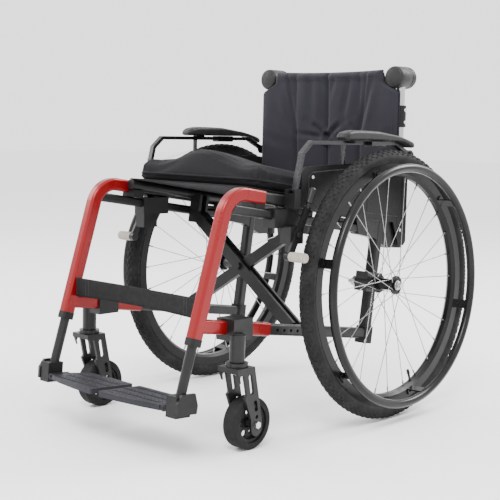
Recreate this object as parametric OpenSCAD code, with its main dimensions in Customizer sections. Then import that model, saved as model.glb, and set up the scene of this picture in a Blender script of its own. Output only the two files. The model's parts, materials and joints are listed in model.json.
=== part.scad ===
// Folding manual wheelchair with cross brace, quick-release wheels and flip-up footplates.
// Millimetres. +Z is up, the user faces -Y, and +X is the user's left.
// Each side is drawn with its rear axle at Y = 0, then moved by axle_y so that the
// whole chair stands on Z = 0 with its outline centred on the origin.

/* [Frame] */
// Distance between the centres of the two side frames
frame_w = 400; // [390:5:480]
// Slope of the seat rails, down towards the back, in degrees
dump = 8.3; // [7.8:0.1:8.8]
// Width of the frame tubes, side to side
tube_w = 24; // [22:1:25]
// Depth of the red front tube, in the plane of the side frame
front_tube_d = 28; // [26:1:30]
// Lean of the front tube from vertical, in degrees
leg_lean = 17; // [16:0.5:18]
// Bend radius of the front tube
bend_r = 55; // [45:1:65]
// Diameter of the round seat rails
rail_d = 22; // [20:1:24]
// Diameter of the back canes
cane_d = 20; // [18:1:22]
// Height of the top of the back grips
back_h = 790; // [760:5:830]

/* [Rear wheels] */
// Outer diameter of the tyre
wheel_d = 600; // [590:5:610]
// Width of the tyre
tyre_w = 34; // [30:1:38]
// Camber of the wheels, in degrees
camber = 2; // [0:0.5:3]
// Distance from the middle of the chair to the middle of a wheel
wheel_x = 272; // [268:1:290]
// Number of spokes, a multiple of four
spoke_count = 28; // [24:4:36]
// Diameter of the axle pin
axle_d = 12; // [11:0.5:12.5]
// Diameter of the hand-rim's tube
handrim_d = 19; // [16:1:22]

/* [Casters] */
// Outer diameter of the caster tyre
caster_d = 106; // [98:1:110]
// Width of the caster tyre
caster_w = 35; // [28:1:36]
// Distance from the swivel axis to the caster axle
caster_trail = 32; // [28:1:34]

/* [Footrests] */
// Distance from the rear axle to the front edge of the footplates
front_reach = 616; // [612:1:622]
// Depth of a footplate, front to back
plate_depth = 112; // [96:2:114]
// Thickness of a footplate
plate_t = 11; // [9:1:12]
// Gap between the two footplates
plate_gap = 22; // [22:1:40]

/* [Seat and arms] */
// Thickness of the cushion at its sides
cushion_h = 46; // [35:1:60]
// Thickness of the seat sling
sling_t = 3; // [2:0.5:4]
// Height of the arm tubes above the floor
arm_h = 613; // [605:1:620]

/* [Hidden] */
$fn = 48;

// Clearances
run_gap = 0.05;    // shaft in its bearing or bore, on the radius
seat_gap = 0.1;    // parts bolted together, per side
skin_gap = 0.3;    // curved neighbours that may move past each other
bend_step = 0.15;  // the drawn bend is this much slimmer than the straight tube, per side
bend_lap = 2;      // straight tube left past the start of the bend

// Frame layout. u runs along the rails and w square to them, both in the tilted frame.
frame_x = frame_w / 2;
axle_y = (front_reach - wheel_d / 2) / 2;
w_low = 178;                  // lower tube
w_mid = 412.5;                // middle tube
w_top = 445;                  // top tube
w_rail = 450;                 // seat rails
u_post = -17.5;               // rear post
u_red_top = -418;             // rear end of the red tube's top stub
u_red_low = -355;             // rear end of the red tube's lower stub
leg_u = -561;                 // lower end of the red tube
leg_w = 153.6;
leg_a = leg_lean - dump;
leg_len = (w_top - bend_r + bend_r * sin(leg_a) - leg_w) / cos(leg_a);
bend_u = leg_u + leg_len * sin(leg_a) + bend_r * cos(leg_a);
black_d = 24;                 // depth of the black tubes
corner_r = 6;                 // rounding of the tube sections
mid_d = 20;
rear_w = 160;                 // lower end of the rear post
rear_u_end = 62;              // rear end of the top tube

// Cross brace
brace_x = frame_x - 22;                // lower pivots, from the middle
brace_u = -234;               // plane of the brace
brace_a = 33.6;               // slope of the bars
rail_x = frame_x - 25;
brace_rise = brace_x * tan(brace_a);
bar_d = 26;
bar_t = 12;
rail_front_u = -446;
rail_rear_u = 30;

// Rear wheel
wheel_r = wheel_d / 2;
tyre_r = tyre_w / 2;
wheel_z = (wheel_r - tyre_r) * cos(camber) + tyre_r;
rim_out = wheel_r - 30;
rim_in = rim_out - 26;
rim_w = 24;
flange_in = -28;
flange_out = 18;
flange_r = 21;
flange_t = 3;
spoke_d = 1.8;
hub_r = 13;
hub_in = -32;
hub_end = 23;
bearing_r = 10.5;
bearing_t = 5;
handrim_x = 49;
handrim_r = wheel_r - 40;
tab_count = 6;
tab_w = 20;
tab_t = 3;
button_r = 2.5;
button_travel = 4;

// Caster
caster_x = 232;
caster_z = caster_d / 2;
caster_y = -413;
stem_y = caster_y - caster_trail;
fork_gap = 4;
fork_t = 6;
fork_top = 180;
stem_d = 12;
housing_d = 31;
housing_h = 54;
caster_axle_d = 8;

// Footrest
foot_tube_d = 20;
plate_tilt = 3.5;
plate_front_z = 98;
pivot_x = 179;
pivot_d = 6;

// Back
clamp_d = cane_d + 8;         // clamps on the back canes
back_t = 14;                  // thickness of the back upholstery
back_low = 480;
grip_d = 52;
back_top = back_h - 8;

// Armrest
arm_x = 229;
arm_t = 8;
link_lap = 0.12;
arm_w = 12;
arm_front_y = -262;

// ---------- helpers ----------
module tilt() {
    rotate([-dump, 0, 0]) children();
}

// Turns a drawing in the side plane (right = +Y, up = +Z) into a plate, centred on X.
module side_plate(t) {
    rotate([90, 0, 90]) linear_extrude(t, center = true) children();
}

// Revolves a profile (radius, position along X) about the X axis.
module lathe_x(fn = 96) {
    rotate([0, 90, 0]) rotate_extrude($fn = fn) children();
}

module rod(p, q, d) {
    v = q - p;
    translate(p)
        rotate([0, acos(v.z / norm(v)), atan2(v.y, v.x)])
            cylinder(d = d, h = norm(v), $fn = 24);
}

module tube_section(d, w, r) {
    square([d - 2 * r, w], center = true);
    square([d, w - 2 * r], center = true);
    for (sx = [-1, 1], sy = [-1, 1])
        translate([sx * (d / 2 - r), sy * (w / 2 - r)]) circle(r);
}

// Rounded bar along +Y from y0 to y1: d is its height and w its width along X.
module bar_y(y0, y1, d, w, r) {
    translate([0, y1, 0]) rotate([90, 0, 0]) linear_extrude(y1 - y0) tube_section(w, d, r);
}

// Rounded bar along +Z from z0 to z1: d is its depth along Y and w its width along X.
module bar_z(z0, z1, d, w, r) {
    translate([0, 0, z0]) linear_extrude(z1 - z0) tube_section(w, d, r);
}

module hex_head(across, h) {
    cylinder(d = across / cos(30), h = h, $fn = 6);
}

module place(s) {
    translate([0, axle_y, 0])
        if (s > 0) children();
        else mirror([1, 0, 0]) children();
}

module at_wheel() {
    translate([wheel_x, 0, wheel_z]) rotate([0, -camber, 0]) children();
}

// ---------- rear wheel ----------
module tyre(s) {
    color("#3c3c40") place(s) at_wheel() lathe_x(120) difference() {
        union() {
            translate([wheel_r - tyre_r, 0]) circle(tyre_r);
            translate([rim_out + seat_gap, -rim_w / 2]) square([tyre_r, rim_w]);
        }
        translate([rim_out - tyre_w, -tyre_w]) square([tyre_w + seat_gap, 2 * tyre_w]);
        for (x = [-7, 0, 7])
            translate([wheel_r - (x == 0 ? 0 : 1.5), x]) circle(1.2, $fn = 16);
    }
}

module rim(s) {
    color("#4a4a4e") place(s) at_wheel() lathe_x(120) polygon([
        [rim_in, -5], [rim_in + 6, -rim_w / 2], [rim_out, -rim_w / 2],
        [rim_out, -rim_w / 2 + 2], [rim_out - 6, -4], [rim_out - 6, 4],
        [rim_out, rim_w / 2 - 2], [rim_out, rim_w / 2], [rim_in + 6, rim_w / 2], [rim_in, 5]
    ]);
}

module spokes(s) {
    half = spoke_count / 2;
    lay = flange_t / 2 + spoke_d / 2 + 0.6;
    color("silver") place(s) at_wheel()
        for (i = [0:spoke_count - 1]) {
            k = floor(i / 2);
            turn = k % 2 == 0 ? 1 : -1;
            flange = i % 2 == 0 ? flange_out : flange_in;
            rim_a = i * 360 / spoke_count;
            hub_a = rim_a + turn * 2 * 360 / half;
            foot = [flange + turn * lay, (flange_r - 3) * cos(hub_a), (flange_r - 3) * sin(hub_a)];
            tip = [i % 2 == 0 ? 2 : -2, (rim_in - skin_gap) * cos(rim_a), (rim_in - skin_gap) * sin(rim_a)];
            rod(foot, tip, spoke_d);
            rod(tip + (foot - tip) * 12 / norm(foot - tip), tip, 2 * spoke_d);
        }
}

module hub(s) {
    color("#2c2c2e") place(s) at_wheel() difference() {
        union() {
            lathe_x() translate([0, hub_in]) square([hub_r, hub_end - hub_in]);
            for (x = [flange_in, flange_out])
                lathe_x() translate([0, x - flange_t / 2]) square([flange_r, flange_t]);
        }
        lathe_x() translate([0, hub_in - 1]) square([axle_d / 2 + 1.5, hub_end - hub_in + 2]);
        for (x = [hub_in - 1, hub_end - bearing_t])
            lathe_x() translate([0, x]) square([bearing_r + run_gap, bearing_t + 1]);
    }
}

module hub_bearings(s) {
    color("silver") place(s) at_wheel()
        for (x = [hub_in, hub_end - bearing_t])
            lathe_x() translate([axle_d / 2, x]) square([bearing_r - axle_d / 2, bearing_t]);
}

module handrim(s) {
    ring_in = handrim_r - handrim_d / 2;
    color("#77777c") place(s) at_wheel() {
        lathe_x(120) translate([handrim_r, handrim_x]) circle(d = handrim_d);
        for (i = [0:tab_count - 1])
            rotate([i * 360 / tab_count + 15, 0, 0]) {
                translate([rim_w / 2 + seat_gap, -tab_w / 2, ring_in - tab_t / 2])
                    cube([handrim_x - rim_w / 2, tab_w, tab_t]);
                translate([rim_w / 2 + seat_gap, -tab_w / 2, ring_in - tab_t / 2])
                    cube([tab_t, tab_w, 14]);
                translate([rim_w / 2 + tab_t, 0, ring_in + 6])
                    rotate([0, 90, 0]) cylinder(d = 8, h = 2.5);
            }
    }
}

module axle(s) {
    pin_r = axle_d / 2 - run_gap;
    color("silver") place(s) at_wheel() difference() {
        union() {
            lathe_x() translate([0, -108]) square([pin_r, 108 + hub_end + 1]);
            lathe_x() translate([0, hub_end + skin_gap]) square([9, 3]);
            lathe_x() translate([0, -112]) square([pin_r - 1, 5]);
            translate([-99, 0, 0]) rotate([0, 90, 0]) hex_head(22, 9);
        }
        lathe_x() translate([0, -120]) square([button_r + run_gap, 160]);
    }
}

module axle_button(s) {
    color("#1f1f21") place(s) at_wheel() {
        lathe_x() translate([0, -110]) square([button_r, 110 + hub_end + 9]);
        lathe_x() translate([0, hub_end + 4 + button_travel]) square([7, 4]);
    }
}

// ---------- caster ----------
module at_caster() {
    translate([caster_x, caster_y, caster_z]) children();
}

module caster_tyre(s) {
    r = caster_d / 2;
    color("#55565a") place(s) at_caster() lathe_x(96) difference() {
        union() {
            translate([r - 14, -caster_w / 2 + 5]) square([14, caster_w - 10]);
            translate([r - 14, -caster_w / 2]) square([9, caster_w]);
            for (x = [-1, 1])
                translate([r - 5, x * (caster_w / 2 - 5)]) circle(5);
        }
        translate([0, -caster_w]) square([r - 14 + seat_gap, 2 * caster_w]);
    }
}

module caster_core(s) {
    r = caster_d / 2 - 14;
    color("#2b2b2d") place(s) at_caster() difference() {
        union() {
            lathe_x() translate([r - 6, -13]) square([6, 26]);
            lathe_x() translate([0, -caster_w / 2 - 1]) square([11, caster_w + 2]);
            lathe_x() translate([0, -3]) square([r - 3, 6]);
        }
        lathe_x() translate([0, -caster_w]) square([caster_axle_d / 2 + run_gap, 2 * caster_w]);
        for (i = [0:6])
            rotate([i * 360 / 7, 0, 0]) translate([-20, 0, (r + 7) / 2])
                rotate([0, 90, 0]) cylinder(d = 14.6, h = 40);
    }
}

// Open slot between two points, w wide, with round ends.
module slot_2d(p, q, w) {
    v = q - p;
    translate(p) rotate(atan2(v.y, v.x)) translate([0, -w / 2]) square([norm(v), w]);
    translate(p) circle(d = w + link_lap);
    translate(q) circle(d = w + link_lap);
}

module caster_fork(s) {
    leg_x = caster_w / 2 + fork_gap;
    slot = 12;
    color("#29292b") place(s) {
        for (sx = [-1, 1])
            translate([caster_x + sx * (leg_x + fork_t / 2), 0, 0]) side_plate(fork_t) difference() {
                union() {
                    polygon([
                        [stem_y - 26, fork_top - 12], [stem_y + 24, fork_top - 12],
                        [caster_y + 15, caster_z + 10], [caster_y + 15, caster_z - 8],
                        [caster_y - 15, caster_z - 8], [caster_y - 17, caster_z + 14]
                    ]);
                    translate([caster_y, caster_z - 8]) circle(15);
                }
                translate([caster_y, caster_z]) circle(caster_axle_d / 2 + run_gap);
                translate([caster_y, caster_z + 16]) circle(caster_axle_d / 2);
                slot_2d([caster_y - 2, caster_z + 32], [caster_y - 5, caster_z + 46], 9);
                slot_2d([stem_y - 12, fork_top - 27], [stem_y - 4, fork_top - 62], slot);
                slot_2d([stem_y + 11, fork_top - 27], [stem_y + 17, fork_top - 58], slot - 2);
            }
        translate([caster_x, stem_y, fork_top - 18]) difference() {
            union() {
                cylinder(r = leg_x + 1, h = 18);
                translate([-leg_x - fork_t, -26, 0]) cube([2 * (leg_x + fork_t), 50, 10]);
            }
            translate([0, 0, -1]) cylinder(d = stem_d, h = 20);
        }
    }
}

module caster_bolts(s) {
    leg_x = caster_w / 2 + fork_gap;
    color("silver") place(s) {
        translate([caster_x, stem_y, fork_top - 18 - 6]) {
            cylinder(d = stem_d - 2 * run_gap, h = 6 + 18 + housing_h - 6);
            hex_head(17, 5.9);
        }
        at_caster() {
            rotate([0, 90, 0])
                cylinder(d = caster_axle_d - 2 * run_gap, h = 2 * (leg_x + fork_t), center = true);
            for (sx = [-1, 1])
                translate([sx * (leg_x + fork_t) + (sx < 0 ? -5 : 0), 0, 0]) rotate([0, 90, 0]) hex_head(13, 5);
        }
    }
}

module caster_housing(s) {
    top = fork_top + 1 + housing_h;
    low_z = caster_clamp_z();
    color("#2a2a2c") place(s) difference() {
        union() {
            translate([caster_x, stem_y, fork_top + 1]) cylinder(d = housing_d, h = housing_h);
            translate([caster_x, stem_y, top - seat_gap]) cylinder(d = housing_d - 6, h = 3);
            translate([frame_x - tube_w / 2 - 5, stem_y - 10, low_z - 22])
                cube([caster_x - frame_x + tube_w / 2 + 5, 54, 44]);
        }
        tilt() translate([frame_x, 0, w_low])
            bar_y(-700, -200, front_tube_d + 2 * seat_gap, tube_w + 2 * seat_gap, corner_r);
        translate([caster_x, stem_y, fork_top]) cylinder(d = stem_d, h = housing_h - 3);
    }
}

function caster_clamp_z() = w_low / cos(dump) - (stem_y + 17) * tan(dump);

// ---------- side frame ----------
module at_leg() {
    tilt() translate([frame_x, leg_u, leg_w]) rotate([-leg_a, 0, 0]) children();
}

module red_bend(grow = 0) {
    translate([frame_x, bend_u, w_top - bend_r]) rotate([90, 0, 90]) rotate([0, 0, 90])
        rotate_extrude(angle = 90 - leg_a, $fn = 96) translate([bend_r, 0])
            tube_section(front_tube_d + 2 * grow, tube_w + 2 * grow, corner_r);
}

module front_tube(s) {
    stub_u = leg_u + (w_low - leg_w) * tan(leg_a);
    color("#c8202c") place(s) difference() {
        union() {
            at_leg() bar_z(0, leg_len + bend_lap, front_tube_d, tube_w, corner_r);
            tilt() {
                red_bend(-bend_step);
                translate([frame_x, 0, w_top])
                    bar_y(bend_u - bend_lap, u_red_top, front_tube_d, tube_w, corner_r);
                translate([frame_x, 0, w_low])
                    bar_y(stub_u, u_red_low, front_tube_d, tube_w, corner_r);
            }
        }
        at_leg() translate([0, 0, -1]) cylinder(d = foot_tube_d + 2 * run_gap, h = 120);
    }
}

module side_frame(s) {
    cane_y = cane_place();
    color("#242426") place(s) difference() {
        union() {
            tilt() translate([frame_x, 0, 0]) {
                translate([0, 0, w_top])
                    bar_y(u_red_top, rear_u_end, black_d, tube_w, corner_r);
                translate([0, 0, w_low])
                    bar_y(u_red_low, u_post, black_d, tube_w, corner_r);
                translate([0, u_post, 0]) bar_z(rear_w, w_top, black_d, tube_w, corner_r);
                translate([0, 0, w_mid])
                    bar_y(bend_u - bend_r, u_post, mid_d, mid_d, corner_r);
                for (u = [-1, 1])
                    translate([-22 - 8, brace_u + u * 18.5 - 2, w_low - 9])
                        cube([22 + 8 - tube_w / 2 + 2, 4, 18]);
            }
            translate([frame_x, 0, 0]) side_plate(tube_w - 2) polygon([
                [-48, 448], [40, 436], [cane_y - 16, 432], [cane_y - 16, 372],
                [70, 372], [20, 398], [-40, 410]
            ]);
            translate([frame_x, cane_y, 370]) cylinder(d = cane_d + 10, h = 68);
        }
        tilt() red_bend(seat_gap);
        translate([frame_x, cane_y, 378]) cylinder(d = cane_d + 2 * seat_gap, h = 90);
        tilt() for (i = [0:4])
            translate([frame_x, u_red_low + 22 + i * 21.5, w_low])
                rotate([0, 90, 0]) cylinder(d = 7, h = 60, center = true);
        tilt() translate([brace_x, brace_u, w_low]) rotate([90, 0, 0])
            cylinder(d = pin_d() + 2 * seat_gap, h = 60, center = true);
    }
}

function cane_place() = 118;

function pin_d() = 9;

module axle_receiver(s) {
    color("#39393c") place(s) difference() {
        union() {
            at_wheel() lathe_x() translate([0, -89]) square([13, 55]);
            tilt() translate([frame_x - 16, u_post - 36, w_axle() - 22]) cube([34, 54, 44]);
        }
        at_wheel() lathe_x() translate([0, -120]) square([axle_d / 2, 120]);
        tilt() translate([frame_x, u_post, 0])
            bar_z(rear_w, w_top, black_d + 2 * seat_gap, tube_w + 2 * seat_gap, corner_r);
    }
}

function w_axle() = wheel_z * cos(dump);

module back_cane(s) {
    color("#8d8d92") place(s) translate([frame_x, cane_place(), 378]) difference() {
        cylinder(d = cane_d, h = back_h - 20 - 378);
        translate([0, 0, 60]) cylinder(d = cane_d - 4, h = back_h);
    }
}

module back_grip(s) {
    grip_len = 66;
    y0 = cane_place() - 26;
    color("#3a3a3d") place(s) difference() {
        translate([frame_x - 5, y0, back_h - grip_d / 2]) rotate([-90, 0, 0]) {
            translate([0, 0, 6]) cylinder(d = grip_d, h = grip_len - 14);
            cylinder(d1 = grip_d - 12, d2 = grip_d, h = 6);
            translate([0, 0, grip_len - 8]) cylinder(d1 = grip_d, d2 = grip_d - 14, h = 8);
        }
        translate([frame_x, cane_place(), 300])
            cylinder(d = cane_d + 2 * seat_gap, h = back_h - 20 - 300 + seat_gap);
    }
}

module fittings(s) {
    color("#1d1d1f") place(s) {
        // corner cap on the lower end of the rear post
        tilt() translate([frame_x, u_post, 0]) difference() {
            bar_z(rear_w - 4, rear_w + 34, black_d + 8, tube_w + 8, corner_r + 2);
            bar_z(rear_w, rear_w + 60, black_d + 2 * seat_gap, tube_w + 2 * seat_gap, corner_r);
            translate([0, 0, w_low])
                bar_y(-200, 0, black_d + 2 * seat_gap, tube_w + 2 * seat_gap, corner_r);
        }
        // collar under the front tube
        at_leg() difference() {
            bar_z(-15, -seat_gap, front_tube_d, tube_w + 2, corner_r);
            translate([0, 0, -20]) cylinder(d = foot_tube_d + 2 * seat_gap, h = 30);
        }
        // saddles under the seat rail
        tilt() for (u = [-425, -150]) saddle(u);
        // pivot pin of the cross brace
        tilt() translate([brace_x, brace_u, w_low]) rotate([90, 0, 0]) {
            cylinder(d = pin_d(), h = 41, center = true);
            for (z = [-1, 1]) translate([0, 0, z * 20.5 + (z < 0 ? -5 : 0)]) hex_head(13, 5);
        }
        // clamp and pivot of the armrest
        translate([frame_x, cane_place(), arm_pivot_z() - 15]) difference() {
            cylinder(d = clamp_d, h = 30);
            translate([0, 0, -1]) cylinder(d = cane_d + 2 * seat_gap, h = 40);
        }
        translate([frame_x + cane_d / 2 + 3, cane_place() - 2, arm_pivot_z()]) rotate([0, 90, 0]) {
            cylinder(d = 16, h = arm_x - arm_w / 2 - frame_x - cane_d / 2 - 3 - skin_gap);
            cylinder(d = 8 - 2 * run_gap, h = arm_x + arm_w / 2 - frame_x - cane_d / 2 - 2);
            translate([0, 0, arm_x + arm_w / 2 - frame_x - cane_d / 2 - 3 + skin_gap])
                cylinder(d = 14, h = 4);
        }
        // clamp on the upper part of the back cane
        translate([frame_x, cane_place(), 650]) difference() {
            cylinder(d = clamp_d, h = 50);
            translate([0, 0, -1]) cylinder(d = cane_d + 2 * seat_gap, h = 60);
        }
        // socket that the front of the armrest stands in
        arm_socket();
        // spacers that carry the side guard
        for (y = [-200, 30]) translate([frame_x + tube_w / 2 + seat_gap / 2, y, top_z(y)])
            rotate([0, 90, 0]) cylinder(d = 12, h = guard_x() - frame_x - tube_w / 2 - seat_gap);
    }
}

function top_z(y) = w_top / cos(dump) - y * tan(dump);

function guard_x() = frame_x + tube_w / 2 + 3.5;

function arm_pivot_z() = arm_h - 26;

module saddle(u) {
    translate([0, u - 14, 0]) difference() {
        union() {
            translate([rail_x - 8, 0, w_mid + mid_d / 2 + seat_gap])
                cube([frame_x - rail_x + 14, 28, w_top - front_tube_d / 2 - w_mid - mid_d / 2 - 2 * seat_gap]);
            translate([rail_x - 8, 0, w_mid + mid_d / 2 + seat_gap])
                cube([frame_x - tube_w / 2 - rail_x + 8 - seat_gap, 28, 20]);
        }
        translate([rail_x - rail_d / 2 - skin_gap, -5, w_rail - rail_d / 2 - skin_gap])
            cube([rail_d + 2 * skin_gap, 40, rail_d + 10]);
    }
}

module arm_socket() {
    foot_y = arm_front_y - 20;
    x0 = frame_x + tube_w / 2 + seat_gap;
    difference() {
        translate([x0, foot_y - 12, top_z(foot_y) - 14])
            cube([arm_x + 11 - x0, 20, arm_foot_z() + 8 - top_z(foot_y) + 14]);
        translate([arm_x - arm_w / 2 - 0.6, foot_y - 40, arm_foot_z() - skin_gap])
            cube([arm_w + 1.2, 40 + arm_t / 2 + 2, 30]);
    }
}

function arm_foot_z() = top_z(arm_front_y - 20) + 18;

// ---------- footrest ----------
function leg_y(z) = (leg_u * cos(dump) + leg_w * sin(dump))
    + (z - (leg_w * cos(dump) - leg_u * sin(dump))) * tan(leg_lean);

module footrest_tube(s) {
    color("#222224") place(s) at_leg() difference() {
        translate([0, 0, -152]) cylinder(d = foot_tube_d, h = 152 + 80);
        translate([0, 0, -160]) cylinder(d = foot_tube_d - 4, h = 300);
    }
}

// Frame of a footplate: origin on its lower front edge, Y to the back along its tilt.
module at_plate() {
    translate([0, -front_reach, plate_front_z]) rotate([-plate_tilt, 0, 0]) children();
}

ear_y = [24, 36, 56, 70];
ear_r = 6.5;

module footplate(s) {
    color("#4b4b4f") place(s) at_plate() difference() {
        union() {
            linear_extrude(plate_t) polygon([
                [plate_gap / 2, 3], [plate_gap / 2 + 3, 0], [plate_gap / 2 + 60, 4],
                [130, 13], [pivot_x - 9, 22], [pivot_x - 9, 74], [160, 92],
                [150, plate_depth - 4], [144, plate_depth], [plate_gap / 2 + 3, plate_depth],
                [plate_gap / 2, plate_depth - 3]
            ]);
            for (y = [[ear_y[0], ear_y[1] - skin_gap], [ear_y[2] + skin_gap, ear_y[3]]])
                translate([pivot_x, y[0], plate_t / 2]) rotate([-90, 0, 0]) {
                    cylinder(r = ear_r, h = y[1] - y[0]);
                    translate([-12, -plate_t / 2, 0]) cube([12, plate_t, y[1] - y[0]]);
                }
        }
        translate([pivot_x, 0, plate_t / 2]) rotate([-90, 0, 0])
            cylinder(d = pivot_d + 2 * run_gap, h = 100);
        translate([pivot_x - 9, ear_y[1] - skin_gap, -1])
            cube([20, ear_y[2] - ear_y[1] + 2 * skin_gap, plate_t + 2]);
        for (y = [26, 50, 74])
            translate([plate_gap / 2 + 8, y, -1]) cube([pivot_x - 62, plate_t > 8 ? 16 : 14, 4]);
    }
}

module footplate_clamp(s) {
    color("#2b2b2e") place(s) difference() {
        union() {
            at_plate() {
                translate([pivot_x + ear_r + 1, ear_y[0], -9]) cube([frame_x + 15 - pivot_x - ear_r - 1, 38, 42]);
                translate([pivot_x, ear_y[1], plate_t / 2]) rotate([-90, 0, 0])
                    cylinder(r = ear_r, h = ear_y[2] - ear_y[1]);
                translate([pivot_x, ear_y[1], 0]) cube([ear_r + 3, ear_y[2] - ear_y[1], plate_t]);
                // raised outer guard
                translate([frame_x + 14, 0, -3]) rotate([90, 0, 90]) linear_extrude(7)
                    polygon([[22, 0], [74, 0], [76, 16], [68, 40], [34, 40], [22, 24]]);
                translate([pivot_x, ear_y[0] - 2, plate_t / 2]) rotate([-90, 0, 0])
                    cylinder(d = pivot_d, h = ear_y[3] - ear_y[0] + 4);
            }
        }
        at_leg() translate([0, 0, -180]) cylinder(d = foot_tube_d + 2 * seat_gap, h = 120);
    }
}

// ---------- brake ----------
brake_y = -285;
brake_z = 425;
shoe_y = -309;
shoe_z = 381.5;
shoe_d = 19;
lever_x = 243;
lever_t = 6;

module brake_mount(s) {
    mid_z = w_mid / cos(dump) - (brake_y - 10) * tan(dump);
    color("#1e1e20") place(s) difference() {
        union() {
            translate([frame_x - mid_d / 2 - 5, brake_y - 42, mid_z - 22])
                cube([mid_d + 12, 76, 38]);
            translate([frame_x + mid_d / 2 + 1, brake_y - 18, brake_z - 20])
                cube([lever_x - lever_t / 2 - skin_gap - frame_x - mid_d / 2 - 1, 40, 36]);
            translate([frame_x + mid_d / 2 + 2, brake_y, brake_z]) rotate([0, 90, 0])
                cylinder(d = 8 - 2 * run_gap, h = lever_x + lever_t - frame_x - mid_d / 2);
            translate([lever_x + lever_t / 2 + skin_gap, brake_y, brake_z]) rotate([0, 90, 0])
                hex_head(13, 5);
        }
        tilt() translate([frame_x, 0, w_mid])
            bar_y(-700, 0, mid_d + 2 * seat_gap, mid_d + 2 * seat_gap, corner_r);
        tilt() translate([frame_x, 0, w_top])
            bar_y(-700, 0, black_d + 2 * seat_gap, tube_w + 2 * seat_gap, corner_r);
    }
}

module link_2d(p, q, w) {
    v = q - p;
    translate(p) rotate(atan2(v.y, v.x)) translate([0, -w / 2]) square([norm(v), w]);
    translate(p) circle(d = w + link_lap);
    translate(q) circle(d = w + link_lap);
}

module brake_lever(s) {
    color("#2a2a2c") place(s) {
        translate([lever_x, 0, 0]) side_plate(lever_t) difference() {
            union() {
                link_2d([brake_y, brake_z], [shoe_y, shoe_z], 16);
                link_2d([brake_y, brake_z], [brake_y + 28, brake_z + 52], 16);
                translate([brake_y, brake_z]) circle(11);
            }
            translate([brake_y, brake_z]) circle(4);
        }
        translate([lever_x, brake_y + 28, brake_z + 52]) rotate([-22, 0, 0]) {
            cylinder(d = 10, h = 40);
            translate([0, 0, 12]) cylinder(d = 17, h = 30);
            translate([0, 0, 42]) cylinder(d1 = 17, d2 = 11, h = 4);
        }
        translate([lever_x - 8, shoe_y, shoe_z]) rotate([0, 90, 0]) cylinder(d = shoe_d, h = 52);
    }
}

// ---------- armrest and guard ----------
module armrest(s) {
    y_back = cane_place() - 2;
    z_back = arm_pivot_z();
    foot_y = arm_front_y - 20;
    color("#9a9a9e") place(s) {
        translate([arm_x, 0, 0]) side_plate(arm_w) difference() {
            union() {
                link_2d([foot_y, arm_foot_z() + arm_t / 2], [arm_front_y, arm_h - 22], arm_t);
                link_2d([arm_front_y, arm_h - 22], [arm_front_y + 26, arm_h], arm_t);
                link_2d([arm_front_y + 26, arm_h], [60, arm_h], arm_t);
                link_2d([60, arm_h], [y_back, z_back], arm_t);
                translate([y_back, z_back]) circle(11);
            }
            translate([y_back, z_back]) circle(4);
        }
        // post and bracket under the pad
        translate([arm_x, -126, arm_h - 46]) cylinder(d = 10, h = 45);
        translate([arm_x + 8, -22, arm_h - 1.1]) bar_y(-26, 26, 14, 21, 3);
    }
}

module arm_pad(s) {
    color("#303033") place(s) translate([arm_x + 11, 0, 0]) side_plate(34) difference() {
        polygon([
            [-150, arm_h + 10], [-142, arm_h + 21], [-118, arm_h + 28], [-30, arm_h + 27],
            [40, arm_h + 18], [96, arm_h + 5], [107, arm_h - 4], [102, arm_h - 13],
            [60, arm_h + 5.5], [-145, arm_h + 6]
        ]);
        link_2d([-200, arm_h], [60, arm_h], arm_t + 2 * seat_gap);
        link_2d([60, arm_h], [cane_place() - 2, arm_pivot_z()], arm_t + 2 * seat_gap);
        translate([-22 - 27, arm_h - 30]) square([54, 36]);
    }
}

module side_guard(s) {
    color("#232325") place(s) translate([guard_x() + 1.5, 0, 0]) side_plate(3)
        polygon([
            [-248, 478], [-248, 552], [-238, 562], [-150, 566], [60, 572], [126, 566],
            [132, 556], [132, 384], [124, 376], [104, 376], [80, 432], [-60, 448]
        ]);
}

// ---------- cross brace ----------
module brace_bar(t, y) {
    run = 2 * brace_x - 14;
    translate([0, y - t / 2, 0]) rotate([90, 0, 0]) mirror([0, 0, 1]) linear_extrude(t) {
        rotate(brace_a) translate([6, -bar_d / 2]) square([run / cos(brace_a) - 6, bar_d]);
        translate([2 * brace_x - 28, 2 * brace_x * tan(brace_a) - 30])
            square([brace_x + rail_x - (2 * brace_x - 28) + 6, w_rail - w_low - 2 * brace_x * tan(brace_a) + 30]);
    }
}

// Bars, lower eye and seat rail of one half, drawn from the lower pivot towards +X.
module brace_half(single) {
    ys = single ? [0] : [-11, 11];
    t = single ? bar_t : 8;
    difference() {
        union() {
            for (y = ys) brace_bar(t, y);
            translate([0, single ? 0 : -11, 0]) rotate([90, 0, 0])
                cylinder(r = 9.4, h = single ? 30 : 8, center = true);
            if (!single) translate([0, 11, 0]) rotate([90, 0, 0]) cylinder(r = 9.4, h = 8, center = true);
            translate([brace_x + rail_x, rail_front_u - brace_u, w_rail - w_low]) rotate([-90, 0, 0])
                cylinder(d = rail_d, h = rail_rear_u - rail_front_u);
        }
        rotate([90, 0, 0]) cylinder(d = pin_d() + 2 * run_gap, h = 60, center = true);
        translate([brace_x, 0, brace_rise]) rotate([90, 0, 0])
            cylinder(d = pin_d() + (single ? 0 : 2 * run_gap), h = 60, center = true);
        translate([brace_x + rail_x, rail_front_u - brace_u + 8, w_rail - w_low]) rotate([-90, 0, 0])
            cylinder(d = rail_d - 4, h = rail_rear_u - rail_front_u);
    }
}

module brace_single() {
    color("#2f2f32") translate([0, axle_y, 0]) tilt() {
        translate([-brace_x, brace_u, w_low]) brace_half(true);
        translate([0, brace_u, w_low + brace_rise]) rotate([90, 0, 0]) {
            cylinder(d = pin_d(), h = 31, center = true);
            for (z = [-1, 1]) translate([0, 0, z * 15.5 + (z < 0 ? -6 : 0)]) hex_head(15, 6);
        }
    }
}

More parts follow.
